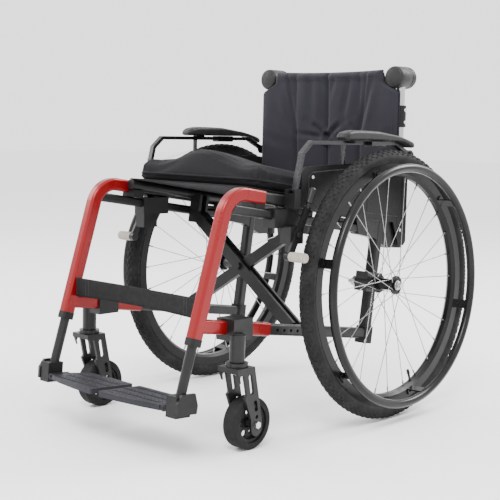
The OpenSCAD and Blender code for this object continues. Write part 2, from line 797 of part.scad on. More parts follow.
module brace_double() {
    color("#2f2f32") translate([0, axle_y, 0]) tilt()
        mirror([1, 0, 0]) translate([-brace_x, brace_u, w_low]) brace_half(false);
}

// ---------- seat, back and calf strap ----------
seat_w0 = w_rail + rail_d / 2 + skin_gap;

module seat_sling() {
    color("#262628") translate([0, axle_y, 0]) tilt()
        translate([-rail_x - 9, rail_front_u + 4, seat_w0]) cube([2 * rail_x + 18, 450, sling_t]);
}

module cushion() {
    base = seat_w0 + sling_t + skin_gap;
    half = rail_x + 13;
    color("#2d2d31") translate([0, axle_y, 0]) tilt() translate([0, -418, base]) {
        rotate([-90, 0, 0]) mirror([0, 1, 0]) linear_extrude(408) polygon([
            [-half, 0], [half, 0], [half, cushion_h - 6], [half - 8, cushion_h],
            [half - 60, cushion_h - 4], [-half + 60, cushion_h - 4], [-half + 8, cushion_h],
            [-half, cushion_h - 6]
        ]);
        translate([0, 0, cushion_h - 8]) rotate([-90, 0, 0]) mirror([0, 1, 0]) linear_extrude(150)
            polygon([[-70, 0], [70, 0], [36, 34], [16, 40], [-16, 40], [-36, 34]]);
    }
}

module back_upholstery() {
    front = cane_place() - clamp_d / 2 - skin_gap - back_t;
    side = frame_x + 11;
    shoulder = frame_x - 5 - grip_d / 2 - 2;
    grip_low = back_h - grip_d - 2;
    color("#6b6971") translate([0, axle_y + front, 0])
        rotate([90, 0, 0]) mirror([0, 0, 1]) linear_extrude(back_t) polygon([
            [-side, back_low], [side, back_low], [side, grip_low], [shoulder, grip_low],
            [shoulder, back_top], [-shoulder, back_top], [-shoulder, grip_low], [-side, grip_low]
        ]);
}

module calf_strap() {
    half = frame_x - tube_w / 2 - skin_gap;
    color("#202022") translate([0, axle_y, 0])
        translate([-half, leg_y(288) - 1.5, 267]) cube([2 * half, 3, 42]);
}

tyre(1);  // tyre_left
rim(1);  // rim_left
spokes(1);  // spokes_left
hub(1);  // hub_left
hub_bearings(1);  // hub_bearings_left
handrim(1);  // handrim_left
axle(1);  // axle_left
axle_button(1);  // axle_button_left
caster_tyre(1);  // caster_tyre_left
caster_core(1);  // caster_core_left
caster_fork(1);  // caster_fork_left
caster_bolts(1);  // caster_bolts_left
caster_housing(1);  // caster_housing_left
front_tube(1);  // front_tube_left
side_frame(1);  // side_frame_left
axle_receiver(1);  // axle_receiver_left
back_cane(1);  // back_cane_left
back_grip(1);  // back_grip_left
fittings(1);  // fittings_left
footrest_tube(1);  // footrest_tube_left
footplate_clamp(1);  // footplate_clamp_left
footplate(1);  // footplate_left
brake_mount(1);  // brake_mount_left
brake_lever(1);  // brake_lever_left
armrest(1);  // armrest_left
arm_pad(1);  // arm_pad_left
side_guard(1);  // side_guard_left
tyre(-1);  // tyre_right
rim(-1);  // rim_right
spokes(-1);  // spokes_right
hub(-1);  // hub_right
hub_bearings(-1);  // hub_bearings_right
handrim(-1);  // handrim_right
axle(-1);  // axle_right
axle_button(-1);  // axle_button_right
caster_tyre(-1);  // caster_tyre_right
caster_core(-1);  // caster_core_right
caster_fork(-1);  // caster_fork_right
caster_bolts(-1);  // caster_bolts_right
caster_housing(-1);  // caster_housing_right
front_tube(-1);  // front_tube_right
side_frame(-1);  // side_frame_right
axle_receiver(-1);  // axle_receiver_right
back_cane(-1);  // back_cane_right
back_grip(-1);  // back_grip_right
fittings(-1);  // fittings_right
footrest_tube(-1);  // footrest_tube_right
footplate_clamp(-1);  // footplate_clamp_right
footplate(-1);  // footplate_right
brake_mount(-1);  // brake_mount_right
brake_lever(-1);  // brake_lever_right
armrest(-1);  // armrest_right
arm_pad(-1);  // arm_pad_right
side_guard(-1);  // side_guard_right
brace_single();
brace_double();
seat_sling();
cushion();
back_upholstery();
calf_strap();
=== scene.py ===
"""Manual wheelchair: looks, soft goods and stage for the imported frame."""

import json
import math

import bmesh
import bpy
import numpy as np
from mathutils import Matrix, Vector

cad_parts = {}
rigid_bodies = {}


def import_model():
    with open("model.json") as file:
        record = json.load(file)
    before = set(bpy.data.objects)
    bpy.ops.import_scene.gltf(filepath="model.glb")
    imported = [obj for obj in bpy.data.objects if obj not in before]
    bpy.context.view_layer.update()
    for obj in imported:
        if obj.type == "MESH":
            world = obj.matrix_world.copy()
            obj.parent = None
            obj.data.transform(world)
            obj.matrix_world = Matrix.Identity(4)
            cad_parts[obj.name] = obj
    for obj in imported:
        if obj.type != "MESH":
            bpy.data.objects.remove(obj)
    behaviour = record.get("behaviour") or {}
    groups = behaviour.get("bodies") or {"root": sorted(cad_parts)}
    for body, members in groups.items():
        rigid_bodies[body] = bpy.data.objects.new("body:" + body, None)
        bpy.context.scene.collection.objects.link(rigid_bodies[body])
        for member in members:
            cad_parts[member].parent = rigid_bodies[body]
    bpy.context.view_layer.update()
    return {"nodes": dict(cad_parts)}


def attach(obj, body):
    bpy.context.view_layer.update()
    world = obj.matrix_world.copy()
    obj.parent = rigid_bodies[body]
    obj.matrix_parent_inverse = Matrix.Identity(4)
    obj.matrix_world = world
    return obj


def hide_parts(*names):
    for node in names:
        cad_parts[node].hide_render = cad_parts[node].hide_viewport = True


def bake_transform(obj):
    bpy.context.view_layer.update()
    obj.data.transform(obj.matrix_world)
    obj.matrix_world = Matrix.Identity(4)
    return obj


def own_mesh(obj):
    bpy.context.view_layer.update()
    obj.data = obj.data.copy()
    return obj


bl_info = {
    "name": "Manual wheelchair finishes",
    "version": (1, 0, 0),
    "blender": (4, 5, 0),
    "location": "3D View > Sidebar > Wheelchair",
    "description": "Builds the soft goods, treads, stitches and finishes of a folding wheelchair",
    "category": "Object",
}

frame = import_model()
NODES = frame["nodes"]
SIDES = (("left", 1), ("right", -1))

AXLE_Y = 0.158
WHEEL_X = 0.272
WHEEL_Z = 0.2998
CAMBER = math.radians(2)
DUMP = math.radians(8.3)


# ---------- small helpers ----------
def on_rails(x, u, w):
    """A point in the seat's own frame: u back along the rails, w square to them."""
    y = u * math.cos(DUMP) + w * math.sin(DUMP) + AXLE_Y
    return Vector((x, y, -u * math.sin(DUMP) + w * math.cos(DUMP)))


def wheel_place(side):
    """The matrix from a wheel's own frame, turning about X, to its cambered place."""
    sign = dict(SIDES)[side]
    turn = Matrix.Rotation(sign * CAMBER * -1, 4, "Y")
    return Matrix.Translation((sign * WHEEL_X, AXLE_Y, WHEEL_Z)) @ turn


def mesh_object(name, verts, faces, smooth=True):
    mesh = bpy.data.meshes.new(name)
    mesh.from_pydata([tuple(v) for v in verts], [], faces)
    mesh.update()
    obj = bpy.data.objects.new(name, mesh)
    bpy.context.scene.collection.objects.link(obj)
    if smooth:
        mesh.shade_smooth()
    return obj


def bm_object(name, bm, smooth=True):
    mesh = bpy.data.meshes.new(name)
    bm.normal_update()
    bm.to_mesh(mesh)
    bm.free()
    obj = bpy.data.objects.new(name, mesh)
    bpy.context.scene.collection.objects.link(obj)
    if smooth:
        mesh.shade_smooth()
    return obj


def point_out(bm):
    bmesh.ops.remove_doubles(bm, verts=bm.verts, dist=1e-6)
    bmesh.ops.recalc_face_normals(bm, faces=bm.faces)


def baked(obj):
    """Applies every modifier and keeps the object's name, at the origin."""
    view = bpy.context.evaluated_depsgraph_get()
    mesh = bpy.data.meshes.new_from_object(obj.evaluated_get(view), depsgraph=view)
    obj.modifiers.clear()
    obj.data = mesh
    mesh.transform(obj.matrix_world)
    obj.matrix_world = Matrix.Identity(4)
    return obj


def subdivided(obj, levels=1):
    mod = obj.modifiers.new("smooth", "SUBSURF")
    mod.levels = mod.render_levels = levels
    return baked(obj)


def coat(obj, mat):
    obj.data.materials.clear()
    obj.data.materials.append(mat)
    return obj


def dress(prefix, mat):
    """Gives every shown CAD node of this name, one or a pair, its finish."""
    for name in (prefix, f"{prefix}_left", f"{prefix}_right"):
        if name in NODES:
            for slot in NODES[name].material_slots:
                slot.link = "OBJECT"
                slot.material = mat


# ---------- finishes ----------
class Finish:
    """A material under construction: its shader, and short ways to add nodes."""

    def __init__(self, name, colour, rough, metal=0.0, **sockets):
        self.mat = bpy.data.materials.new(name)
        self.mat.use_nodes = True
        self.mat.diffuse_color = (*colour, 1)
        self.tree = self.mat.node_tree
        self.shader = self.tree.nodes["Principled BSDF"]
        self.set("Base Color", (*colour, 1))
        self.set("Roughness", rough)
        self.set("Metallic", metal)
        for key, value in sockets.items():
            self.set(key.replace("_", " "), value)
        self.place = self.node("TexCoord").outputs["Object"]

    def set(self, socket, value):
        self.shader.inputs[socket].default_value = value

    def node(self, kind, attrs=None, **inputs):
        made = self.tree.nodes.new("ShaderNode" + kind)
        for key, value in (attrs or {}).items():
            setattr(made, key, value)
        for key, value in inputs.items():
            self.feed(made.inputs[key.replace("_", " ")], value)
        return made

    def feed(self, socket, value):
        if isinstance(value, bpy.types.NodeSocket):
            self.tree.links.new(value, socket)
        else:
            socket.default_value = value

    def noise(self, scale, detail=3.0, rough=0.55, place=None):
        made = self.node("TexNoise", Vector=place or self.place, Scale=scale, Detail=detail)
        made.inputs["Roughness"].default_value = rough
        return made.outputs["Fac"]

    def cells(self, scale, feature="F1", place=None):
        made = self.node("TexVoronoi", {"feature": feature}, Vector=place or self.place, Scale=scale)
        return made.outputs["Distance"]

    def lines(self, scale, direction="X", place=None):
        attrs = {"wave_type": "BANDS", "bands_direction": direction, "wave_profile": "SIN"}
        return self.node("TexWave", attrs, Vector=place or self.place, Scale=scale).outputs["Fac"]

    def stretch(self, scale, shift=(0, 0, 0)):
        made = self.node("Mapping", Vector=self.place, Scale=scale, Location=shift)
        return made.outputs["Vector"]

    def fit(self, value, low, high, out_low=0.0, out_high=1.0):
        made = self.node("MapRange")
        for key, item in zip(("Value", "From Min", "From Max", "To Min", "To Max"),
                             (value, low, high, out_low, out_high)):
            self.feed(made.inputs[key], item)
        return made.outputs["Result"]

    def math(self, kind, a, b=0.5):
        made = self.node("Math", {"operation": kind})
        self.feed(made.inputs[0], a)
        self.feed(made.inputs[1], b)
        return made.outputs[0]

    def tint(self, fac, dark, light):
        """Base colour from dark to light as fac goes from 0 to 1."""
        mix = self.node("Mix", {"data_type": "RGBA"})
        self.feed(mix.inputs["Factor"], fac)
        for key, item in (("A", dark), ("B", light)):
            socket = [s for s in mix.inputs if s.name == key and s.type == "RGBA"][0]
            self.feed(socket, item if isinstance(item, bpy.types.NodeSocket) else (*item, 1))
        out = [s for s in mix.outputs if s.type == "RGBA"][0]
        self.feed(self.shader.inputs["Base Color"], out)
        return out

    def rough(self, fac, low, high):
        self.feed(self.shader.inputs["Roughness"], self.fit(fac, 0.3, 0.7, low, high))

    def bump(self, height, strength=0.3, distance=0.001, under=None):
        made = self.node("Bump", Height=height, Strength=strength, Distance=distance)
        if under is not None:
            self.feed(made.inputs["Normal"], under)
        self.feed(self.shader.inputs["Normal"], made.outputs["Normal"])
        return made.outputs["Normal"]


def powder_coat(name, colour, gloss=0.34):
    """Satin powder coat on tube: faint orange peel, with a slightly uneven sheen."""
    f = Finish(name, colour, gloss, Specular_IOR_Level=0.26, Coat_Weight=0.04, Coat_Roughness=0.18)
    wide = f.noise(14, 4)
    f.tint(f.fit(wide, 0.3, 0.75), [c * 0.8 for c in colour], [c * 1.25 + 0.004 for c in colour])
    f.rough(f.noise(60, 3), gloss - 0.06, gloss + 0.12)
    f.bump(f.noise(900, 2), 0.12, 0.0002)
    return f.mat


def candy_red(name, colour):
    """Deep red over a metal flake, under clear lacquer."""
    f = Finish(name, colour, 0.34, 0.35, Specular_IOR_Level=0.3, Coat_Weight=0.22, Coat_Roughness=0.1)
    flake = f.cells(4200)
    f.tint(f.fit(flake, 0.1, 0.75), [c * 1.1 + 0.002 for c in colour], [c * 0.88 for c in colour])
    f.rough(f.noise(24, 3), 0.26, 0.34)
    f.bump(f.noise(30, 2), 0.02, 0.0005)
    return f.mat


def bare_metal(name, colour, gloss=0.3, streak=(400, 400, 20)):
    """Brushed or drawn metal whose streaks follow one axis."""
    f = Finish(name, colour, gloss, 1.0)
    grain = f.noise(1.0, 4, 0.6, f.stretch(streak))
    f.tint(f.fit(grain, 0.3, 0.7), [c * 0.82 for c in colour], [min(1, c * 1.12) for c in colour])
    f.rough(grain, gloss - 0.07, gloss + 0.1)
    f.bump(grain, 0.08, 0.0002)
    return f.mat


def turned(name, colour, gloss, metal, side, lines_scale=160):
    """Black or plain alloy turned on a lathe: fine rings about the wheel's axle."""
    f = Finish(name, colour, gloss, metal, Specular_IOR_Level=0.3)
    sign = dict(SIDES)[side]
    middle = f.node("Mapping", {"vector_type": "TEXTURE"}, Vector=f.place,
                    Location=(sign * WHEEL_X, AXLE_Y, WHEEL_Z), Rotation=(0, -sign * CAMBER, 0))
    split = f.node("SeparateXYZ", Vector=middle.outputs[0])
    far = f.math("SQRT", f.math("ADD", f.math("MULTIPLY", split.outputs["Y"], split.outputs["Y"]),
                                f.math("MULTIPLY", split.outputs["Z"], split.outputs["Z"])))
    ring = f.math("SINE", f.math("MULTIPLY", far, lines_scale * 60.0), 0)
    cloud = f.noise(35, 4)
    f.tint(f.fit(cloud, 0.3, 0.7), [c * 0.8 for c in colour], [min(1, c * 1.2) for c in colour])
    f.rough(cloud, gloss - 0.05, gloss + 0.1)
    f.bump(f.fit(ring, -1, 1), 0.08, 0.0001)
    return f.mat


def rubber(name, colour, dust=0.03):
    """Tyre rubber: matt, a little dusty in the open, fine moulded grain."""
    f = Finish(name, colour, 0.7, Specular_IOR_Level=0.14)
    cloud = f.noise(22, 5, 0.65)
    f.tint(f.fit(cloud, 0.35, 0.75), [c * 0.85 for c in colour], [c + dust * 0.22 for c in colour])
    f.rough(f.noise(90, 3), 0.6, 0.85)
    f.bump(f.noise(1400, 3), 0.2, 0.0003)
    return f.mat


def moulded(name, colour, gloss=0.45, grain=1800):
    """Injection-moulded plastic: fine leather-like spark grain and faint flow clouds."""
    f = Finish(name, colour, gloss, Specular_IOR_Level=0.2)
    cloud = f.noise(18, 4)
    f.tint(f.fit(cloud, 0.3, 0.7), [c * 0.85 for c in colour], [c * 1.18 + 0.002 for c in colour])
    f.rough(f.noise(120, 3), gloss - 0.06, gloss + 0.12)
    f.bump(f.cells(grain), 0.16, 0.0003)
    return f.mat


def skin_foam(name, colour, gloss=0.55):
    """Self-skinned foam of an arm pad or grip: pores, soft dents and a dull sheen."""
    f = Finish(name, colour, gloss, Sheen_Weight=0.03, Sheen_Roughness=0.5, Specular_IOR_Level=0.24)
    pores = f.cells(1100)
    dents = f.noise(45, 4)
    f.tint(f.fit(dents, 0.3, 0.7), [c * 0.82 for c in colour], [c * 1.2 + 0.004 for c in colour])
    f.rough(f.noise(160, 3), gloss - 0.08, gloss + 0.14)
    soft = f.bump(dents, 0.1, 0.001)
    f.bump(pores, 0.22, 0.0004, soft)
    return f.mat


def cloth(name, dark, light, across="X", along="Z", threads=340.0, sheen=0.25, coarse=0.0):
    """Woven nylon: warp and weft threads over and under, with slow shade changes."""
    f = Finish(name, light, 0.82, Sheen_Weight=sheen, Sheen_Roughness=0.4, Specular_IOR_Level=0.12)
    warp = f.lines(threads, across)
    weft = f.lines(threads, along)
    over = f.math("ABSOLUTE", f.math("SUBTRACT", warp, weft), 0)
    cloud = f.noise(16, 5, 0.6)
    fuzz = f.noise(620, 3)
    shade = f.math("ADD", f.math("MULTIPLY", over, 0.35),
                   f.math("ADD", f.math("MULTIPLY", cloud, 0.45), f.math("MULTIPLY", fuzz, 0.25)))
    f.tint(f.fit(shade, 0.25, 0.75), dark, light)
    f.rough(cloud, 0.72, 0.92)
    soft = f.bump(f.noise(38, 3), 0.1 + coarse, 0.002)
    f.bump(over, 0.35, 0.0005, soft)
    return f.mat


def webbing(name, dark, light):
    """Woven strap: strong crosswise ribs and a fine lengthwise thread."""
    f = Finish(name, light, 0.75, Sheen_Weight=0.03, Sheen_Roughness=0.5, Specular_IOR_Level=0.12)
    ribs = f.lines(420, "Z")
    threads = f.lines(520, "X")
    mix = f.math("ADD", f.math("MULTIPLY", ribs, 0.6), f.math("MULTIPLY", threads, 0.4))
    f.tint(f.fit(f.math("ADD", f.math("MULTIPLY", mix, 0.6), f.math("MULTIPLY", f.noise(60), 0.4)),
                 0.2, 0.8), dark, light)
    f.rough(f.noise(80), 0.65, 0.85)
    f.bump(mix, 0.4, 0.0005)
    return f.mat


def thread(name, colour):
    """Sewing thread: two plies that twist."""
    f = Finish(name, colour, 0.6, Sheen_Weight=0.05, Specular_IOR_Level=0.2)
    ply = f.noise(1.0, 2, 0.5, f.stretch((900, 900, 900)))
    f.tint(f.fit(ply, 0.3, 0.7), [c * 0.7 for c in colour], [c * 1.2 for c in colour])
    f.rough(ply, 0.5, 0.7)
    f.bump(ply, 0.3, 0.0002)
    return f.mat


# ---------- settings ----------
def tone(name, default, words):
    return bpy.props.FloatVectorProperty(name=name, description=words, subtype="COLOR", size=3,
                                         min=0.0, max=1.0, default=default)


def span(name, default, words, low=0.0, high=1.0):
    return bpy.props.FloatProperty(name=name, description=words, subtype="DISTANCE",
                                   unit="LENGTH", min=low, max=high, default=default)


class ChairColours(bpy.types.PropertyGroup):
    """Colours a user would change."""

    frame_black: tone("Frame", (0.0045, 0.0045, 0.005), "Powder coat on the frame and brace")
    front_red: tone("Front tubes", (0.20, 0.0016, 0.003), "Lacquer on the two front tubes")
    back_grey: tone("Back cloth", (0.020, 0.019, 0.025), "Nylon of the back upholstery")
    seat_black: tone("Cushion cloth", (0.006, 0.006, 0.0072), "Cover of the seat cushion")
    plate_grey: tone("Footplates", (0.014, 0.0145, 0.019), "Moulded plastic of the footplates")
    tyre_grey: tone("Tyres", (0.009, 0.009, 0.0096), "Rubber of all four tyres")


class ChairSizes(bpy.types.PropertyGroup):
    """Sizes a user would change."""

    tread_count: bpy.props.IntProperty(
        name="Tread blocks", description="Blocks in one row of the rear tread", min=40, max=160, default=96)
    stitch_gap: span("Stitch spacing", 0.005, "Distance from one stitch to the next", 0.002, 0.02)
    rib_gap: span("Footplate rib spacing", 0.0105, "Distance between the grip ribs", 0.004, 0.03)
    puff: span("Cushion puff", 0.005, "How far the cushion's cover may swell", 0.0, 0.03)
    floor_size: span("Floor size", 40.0, "Width of the studio floor", 1.0, 100.0)


def colours():
    return bpy.context.scene.chair_colours


def sizes():
    return bpy.context.scene.chair_sizes


class CHAIR_OT_stage(bpy.types.Operator):
    """Pale floor, soft studio lights and the camera"""

    bl_idname = "chair.stage"
    bl_label = "Stage and camera"

    def execute(self, context):
        scene = context.scene
        self.floor()
        self.lights(scene)
        self.camera(scene)
        return {"FINISHED"}

    def floor(self):
        half = sizes().floor_size / 2
        corners = [(-half, -half, 0), (half, -half, 0), (half, half, 0), (-half, half, 0)]
        obj = mesh_object("studio_floor", [(x, y, -0.0008) for x, y, z in corners], [(0, 1, 2, 3)], False)
        f = Finish("pale_floor", (0.93, 0.93, 0.93), 0.75)
        f.tint(f.fit(f.noise(2.5, 2), 0.2, 0.8), (0.925, 0.925, 0.925), (0.935, 0.935, 0.935))
        coat(obj, f.mat)

    def lights(self, scene):
        world = bpy.data.worlds.new("studio_air")
        world.use_nodes = True
        world.node_tree.nodes["Background"].inputs[0].default_value = (1, 1, 1, 1)
        world.node_tree.nodes["Background"].inputs[1].default_value = 2.1
        scene.world = world
        for name, place, size, power in (
            ("key", (1.6, -2.4, 3.4), 1.6, 160),
            ("fill", (-3.0, -1.4, 2.4), 2.0, 90),
            ("rim", (1.2, 2.8, 2.8), 1.6, 140),
        ):
            lamp = bpy.data.lights.new(f"{name}_light", "AREA")
            lamp.size = size
            lamp.energy = power
            obj = bpy.data.objects.new(f"{name}_light", lamp)
            scene.collection.objects.link(obj)
            obj.location = place
            obj.rotation_euler = (Vector((0, 0, 0.4)) - Vector(place)).to_track_quat("-Z", "Y").to_euler()

    def camera(self, scene):
        turn, rise, roll = (math.radians(v) for v in (43.221, 6.141, 1.297))
        back = Vector((math.sin(turn) * math.cos(rise), -math.cos(turn) * math.cos(rise), math.sin(rise)))
        right = (-back).cross(Vector((0, 0, 1))).normalized()
        up = right.cross(-back)
        cam_x = right * math.cos(roll) + up * math.sin(roll)
        cam_y = -right * math.sin(roll) + up * math.cos(roll)
        lens = bpy.data.cameras.new("studio_camera")
        lens.lens = 78.29
        lens.sensor_width = 36.0
        lens.shift_x = 0.00505
        lens.shift_y = -0.00712
        obj = bpy.data.objects.new("studio_camera", lens)
        place = Matrix((cam_x, cam_y, back)).transposed().to_4x4()
        place.translation = Vector((1.68768, -1.81327, 0.63697))
        obj.matrix_world = place
        scene.collection.objects.link(obj)
        scene.camera = obj


class CHAIR_OT_frame(bpy.types.Operator):
    """Finishes of the frame, brace, clamps and fittings"""

    bl_idname = "chair.frame"
    bl_label = "Frame finishes"

    def execute(self, context):
        black = powder_coat("satin_black_tube", colours().frame_black)
        red = candy_red("candy_red_tube", colours().front_red)
        steel = bare_metal("zinc_bolt", (0.62, 0.62, 0.63), 0.26, (300, 300, 300))
        cane = bare_metal("silver_cane", (0.42, 0.43, 0.44), 0.24, (500, 500, 12))
        arm = bare_metal("satin_arm_bar", (0.055, 0.055, 0.057), 0.26, (500, 30, 200))
        fork = powder_coat("black_fork", (0.006, 0.006, 0.0065), 0.34)
        plastic = moulded("black_fitting", (0.006, 0.006, 0.0066), 0.42)
        guard = moulded("guard_black", (0.007, 0.007, 0.0076), 0.36, 900)
        receiver = powder_coat("dark_receiver", (0.018, 0.018, 0.019), 0.32)
        for mat, names in (
            (black, ("side_frame", "brace_single", "brace_double", "footrest_tube", "caster_housing")),
            (red, ("front_tube",)),
            (cane, ("back_cane",)),
            (arm, ("armrest",)),
            (steel, ("caster_bolts", "axle", "axle_button", "hub_bearings")),
            (fork, ("caster_fork", "brake_mount", "brake_lever")),
            (plastic, ("fittings", "footplate_clamp")),
            (guard, ("side_guard",)),
            (receiver, ("axle_receiver",)),
        ):
            for name in names:
                dress(name, mat)
        return {"FINISHED"}


class CHAIR_OT_wheels(bpy.types.Operator):
    """Finishes of the rear wheels and the casters"""

    bl_idname = "chair.wheels"
    bl_label = "Wheel finishes"

    def execute(self, context):
        tyre = rubber("tyre_rubber", colours().tyre_grey)
        caster = rubber("caster_rubber", [c * 0.9 for c in colours().tyre_grey])
        spoke = bare_metal("bright_spoke", (0.30, 0.30, 0.31), 0.24, (200, 200, 200))
        core = moulded("caster_core", (0.008, 0.008, 0.0088), 0.4)
        dress("tyre", tyre)
        dress("caster_tyre", caster)
        dress("caster_core", core)
        dress("spokes", spoke)
        for side, sign in SIDES:
            rim = turned(f"rim_black_{side}", (0.007, 0.007, 0.0075), 0.3, 0.4, side)
            hub = turned(f"hub_black_{side}", (0.012, 0.012, 0.0125), 0.28, 0.5, side, 300)
            ring = turned(f"handrim_satin_{side}", (0.008, 0.008, 0.0085), 0.2, 0.3, side, 90)
            dress(f"rim_{side}", rim)
            dress(f"hub_{side}", hub)
            dress(f"handrim_{side}", ring)
        return {"FINISHED"}


# ---------- repeats by Geometry Nodes ----------
class Tree:
    """A Geometry Nodes tree under construction, ending in Realize Instances and Set Material."""

    def __init__(self, name):
        self.group = bpy.data.node_groups.new(name, "GeometryNodeTree")
        self.group.interface.new_socket("Geometry", in_out="OUTPUT", socket_type="NodeSocketGeometry")
        self.group.interface.new_socket("Geometry", in_out="INPUT", socket_type="NodeSocketGeometry")
        self.ids = {}
        self.start = self.group.nodes.new("NodeGroupInput")
        self.end = self.group.nodes.new("NodeGroupOutput")

    def input(self, name, kind, default=None):
        socket = self.group.interface.new_socket(name, in_out="INPUT", socket_type="NodeSocket" + kind)
        if default is not None:
            socket.default_value = default
        self.ids[name] = socket.identifier
        return self.start.outputs[name]

    def node(self, kind, attrs=None, **inputs):
        made = self.group.nodes.new(kind)
        for key, value in (attrs or {}).items():
            setattr(made, key, value)
        for key, value in inputs.items():
            self.feed(made.inputs[key.replace("_", " ")], value)
        return made

    def feed(self, socket, value):
        if isinstance(value, bpy.types.NodeSocket):
            self.group.links.new(value, socket)
        else:
            socket.default_value = value

    def math(self, kind, a, b=0.0):
        made = self.node("ShaderNodeMath", {"operation": kind})
        self.feed(made.inputs[0], a)
        self.feed(made.inputs[1], b)
        return made.outputs[0]

    def close(self, geometry):
        mat = self.input("Material", "Material")
        real = self.node("GeometryNodeRealizeInstances", Geometry=geometry)
        done = self.node("GeometryNodeSetMaterial", Geometry=real.outputs[0], Material=mat)
        self.group.links.new(done.outputs[0], self.end.inputs[0])
        return self

    def run(self, obj, **values):
        mod = obj.modifiers.new(self.group.name, "NODES")
        mod.node_group = self.group
        for key, value in values.items():
            mod[self.ids[key.replace("_", " ")]] = value
        return baked(obj)


def row_tree():
    """Copies a shape onto every point, its Z along the point's 'out' and its X along 'along'."""
    tree = Tree("row_on_points")
    shape = tree.input("Shape", "Object")
    size = tree.input("Size", "Vector", (1, 1, 1))
    info = tree.node("GeometryNodeObjectInfo", Object=shape)
    out = tree.node("GeometryNodeInputNamedAttribute", {"data_type": "FLOAT_VECTOR"}, Name="out")
    along = tree.node("GeometryNodeInputNamedAttribute", {"data_type": "FLOAT_VECTOR"}, Name="along")
    up = tree.node("FunctionNodeAlignRotationToVector", {"axis": "Z"}, Vector=out.outputs[0])
    turn = tree.node("FunctionNodeAlignRotationToVector", {"axis": "X", "pivot_axis": "Z"},
                     Rotation=up.outputs[0], Vector=along.outputs[0])
    put = tree.node("GeometryNodeInstanceOnPoints", Points=tree.start.outputs["Geometry"],
                    Instance=info.outputs["Geometry"], Rotation=turn.outputs[0], Scale=size)
    return tree.close(put.outputs[0])


def ring_tree():
    """Copies a shape round a circle about X: Count copies at Radius, moved sideways by Offset."""
    tree = Tree("ring_about_axle")
    shape = tree.input("Shape", "Object")
    count = tree.input("Count", "Int", 90)
    radius = tree.input("Radius", "Float", 0.3)
    offset = tree.input("Offset", "Float", 0.0)
    phase = tree.input("Phase", "Float", 0.0)
    info = tree.node("GeometryNodeObjectInfo", Object=shape)
    line = tree.node("GeometryNodeMeshLine", Count=count)
    index = tree.node("GeometryNodeInputIndex")
    share = tree.math("DIVIDE", tree.math("ADD", index.outputs[0], phase), count)
    angle = tree.math("MULTIPLY", share, 2 * math.pi)
    y = tree.math("MULTIPLY", tree.math("SINE", angle), tree.math("MULTIPLY", radius, -1.0))
    z = tree.math("MULTIPLY", tree.math("COSINE", angle), radius)
    spot = tree.node("ShaderNodeCombineXYZ", X=offset, Y=y, Z=z)
    moved = tree.node("GeometryNodeSetPosition", Geometry=line.outputs[0], Position=spot.outputs[0])
    tilt = tree.node("ShaderNodeCombineXYZ", X=angle)
    turn = tree.node("FunctionNodeEulerToRotation", Euler=tilt.outputs[0])
    put = tree.node("GeometryNodeInstanceOnPoints", Points=moved.outputs[0],
                    Instance=info.outputs["Geometry"], Rotation=turn.outputs[0])
    return tree.close(put.outputs[0])


TREES = {}


def tree_of(maker):
    if maker.__name__ not in TREES:
        TREES[maker.__name__] = maker()
    return TREES[maker.__name__]


def points_object(name, spots, outs, alongs):
    obj = mesh_object(name, spots, [], False)
    for key, values in (("out", outs), ("along", alongs)):
        attribute = obj.data.attributes.new(key, "FLOAT_VECTOR", "POINT")
        attribute.data.foreach_set("vector", np.array([tuple(v) for v in values], np.float32).ravel())
    return obj


def row(name, shape, spots, outs, alongs, mat, size=(1, 1, 1)):
    """One mesh of copies of shape, placed by points and directions; shape stays for the next row."""
    obj = points_object(name, spots, outs, alongs)
    return tree_of(row_tree).run(obj, Shape=shape, Size=size, Material=mat)


def ring(name, shape, count, radius, offset, mat, phase=0.0):
    obj = mesh_object(name, [(0, 0, 0)], [], False)
    return tree_of(ring_tree).run(obj, Shape=shape, Count=count, Radius=radius, Offset=offset,
                                  Phase=phase, Material=mat)


def joined(name, objs):
    """Joins finished meshes into one mesh under one name."""
    bm = bmesh.new()
    mats = []
    for obj in objs:
        first = len(bm.faces)
        bm.from_mesh(obj.data)
        bm.faces.ensure_lookup_table()
        for mat in obj.data.materials:
            if mat not in mats:
                mats.append(mat)
        if obj.data.materials:
            for face in bm.faces[first:]:
                face.material_index = mats.index(obj.data.materials[face.material_index])
    smooth = objs[0].data.polygons[0].use_smooth if len(objs[0].data.polygons) else True
    made = bm_object(name, bm, smooth)
    for mat in mats:
        made.data.materials.append(mat)
    for obj in objs:
        bpy.data.objects.remove(obj)
    return made


def pattern(name, bm):
    """A small shape that rows and rings copy; it isn't shown itself."""
    obj = bm_object(name, bm)
    obj.hide_render = True
    return obj


def stitch_shape():
    bm = bmesh.new()
    bmesh.ops.create_icosphere(bm, subdivisions=1, radius=1.0)
    for v in bm.verts:
        v.co = Vector((v.co.x * 0.0017, v.co.y * 0.00055, v.co.z * 0.0005))
    return pattern("stitch_shape", bm)


def walk(points, gap):
    """Evenly spaced spots along a polyline, with the direction at each."""
    pts = [Vector(p) for p in points]
    out, need = [], gap / 2
    for a, b in zip(pts, pts[1:]):
        step = (b - a).length
        while need <= step:
            out.append((a.lerp(b, need / step), (b - a).normalized()))
            need += gap
        need -= step
    return out


def stitches(name, lines, facing, mat):
    """A row of thread stitches along each line; facing gives the cloth's outward direction."""
    spots, outs, alongs = [], [], []
    for line in lines:
        for spot, along in walk(line, sizes().stitch_gap):
            spots.append(spot)
            outs.append(facing)
            alongs.append(along)
    shape = stitch_shape()
    made = row(name, shape, spots, outs, alongs, mat)
    bpy.data.objects.remove(shape)
    return made


# ---------- soft goods ----------
def smooth_step(a, b, v):
    t = min(1.0, max(0.0, (v - a) / (b - a)))
    return t * t * (3 - 2 * t)


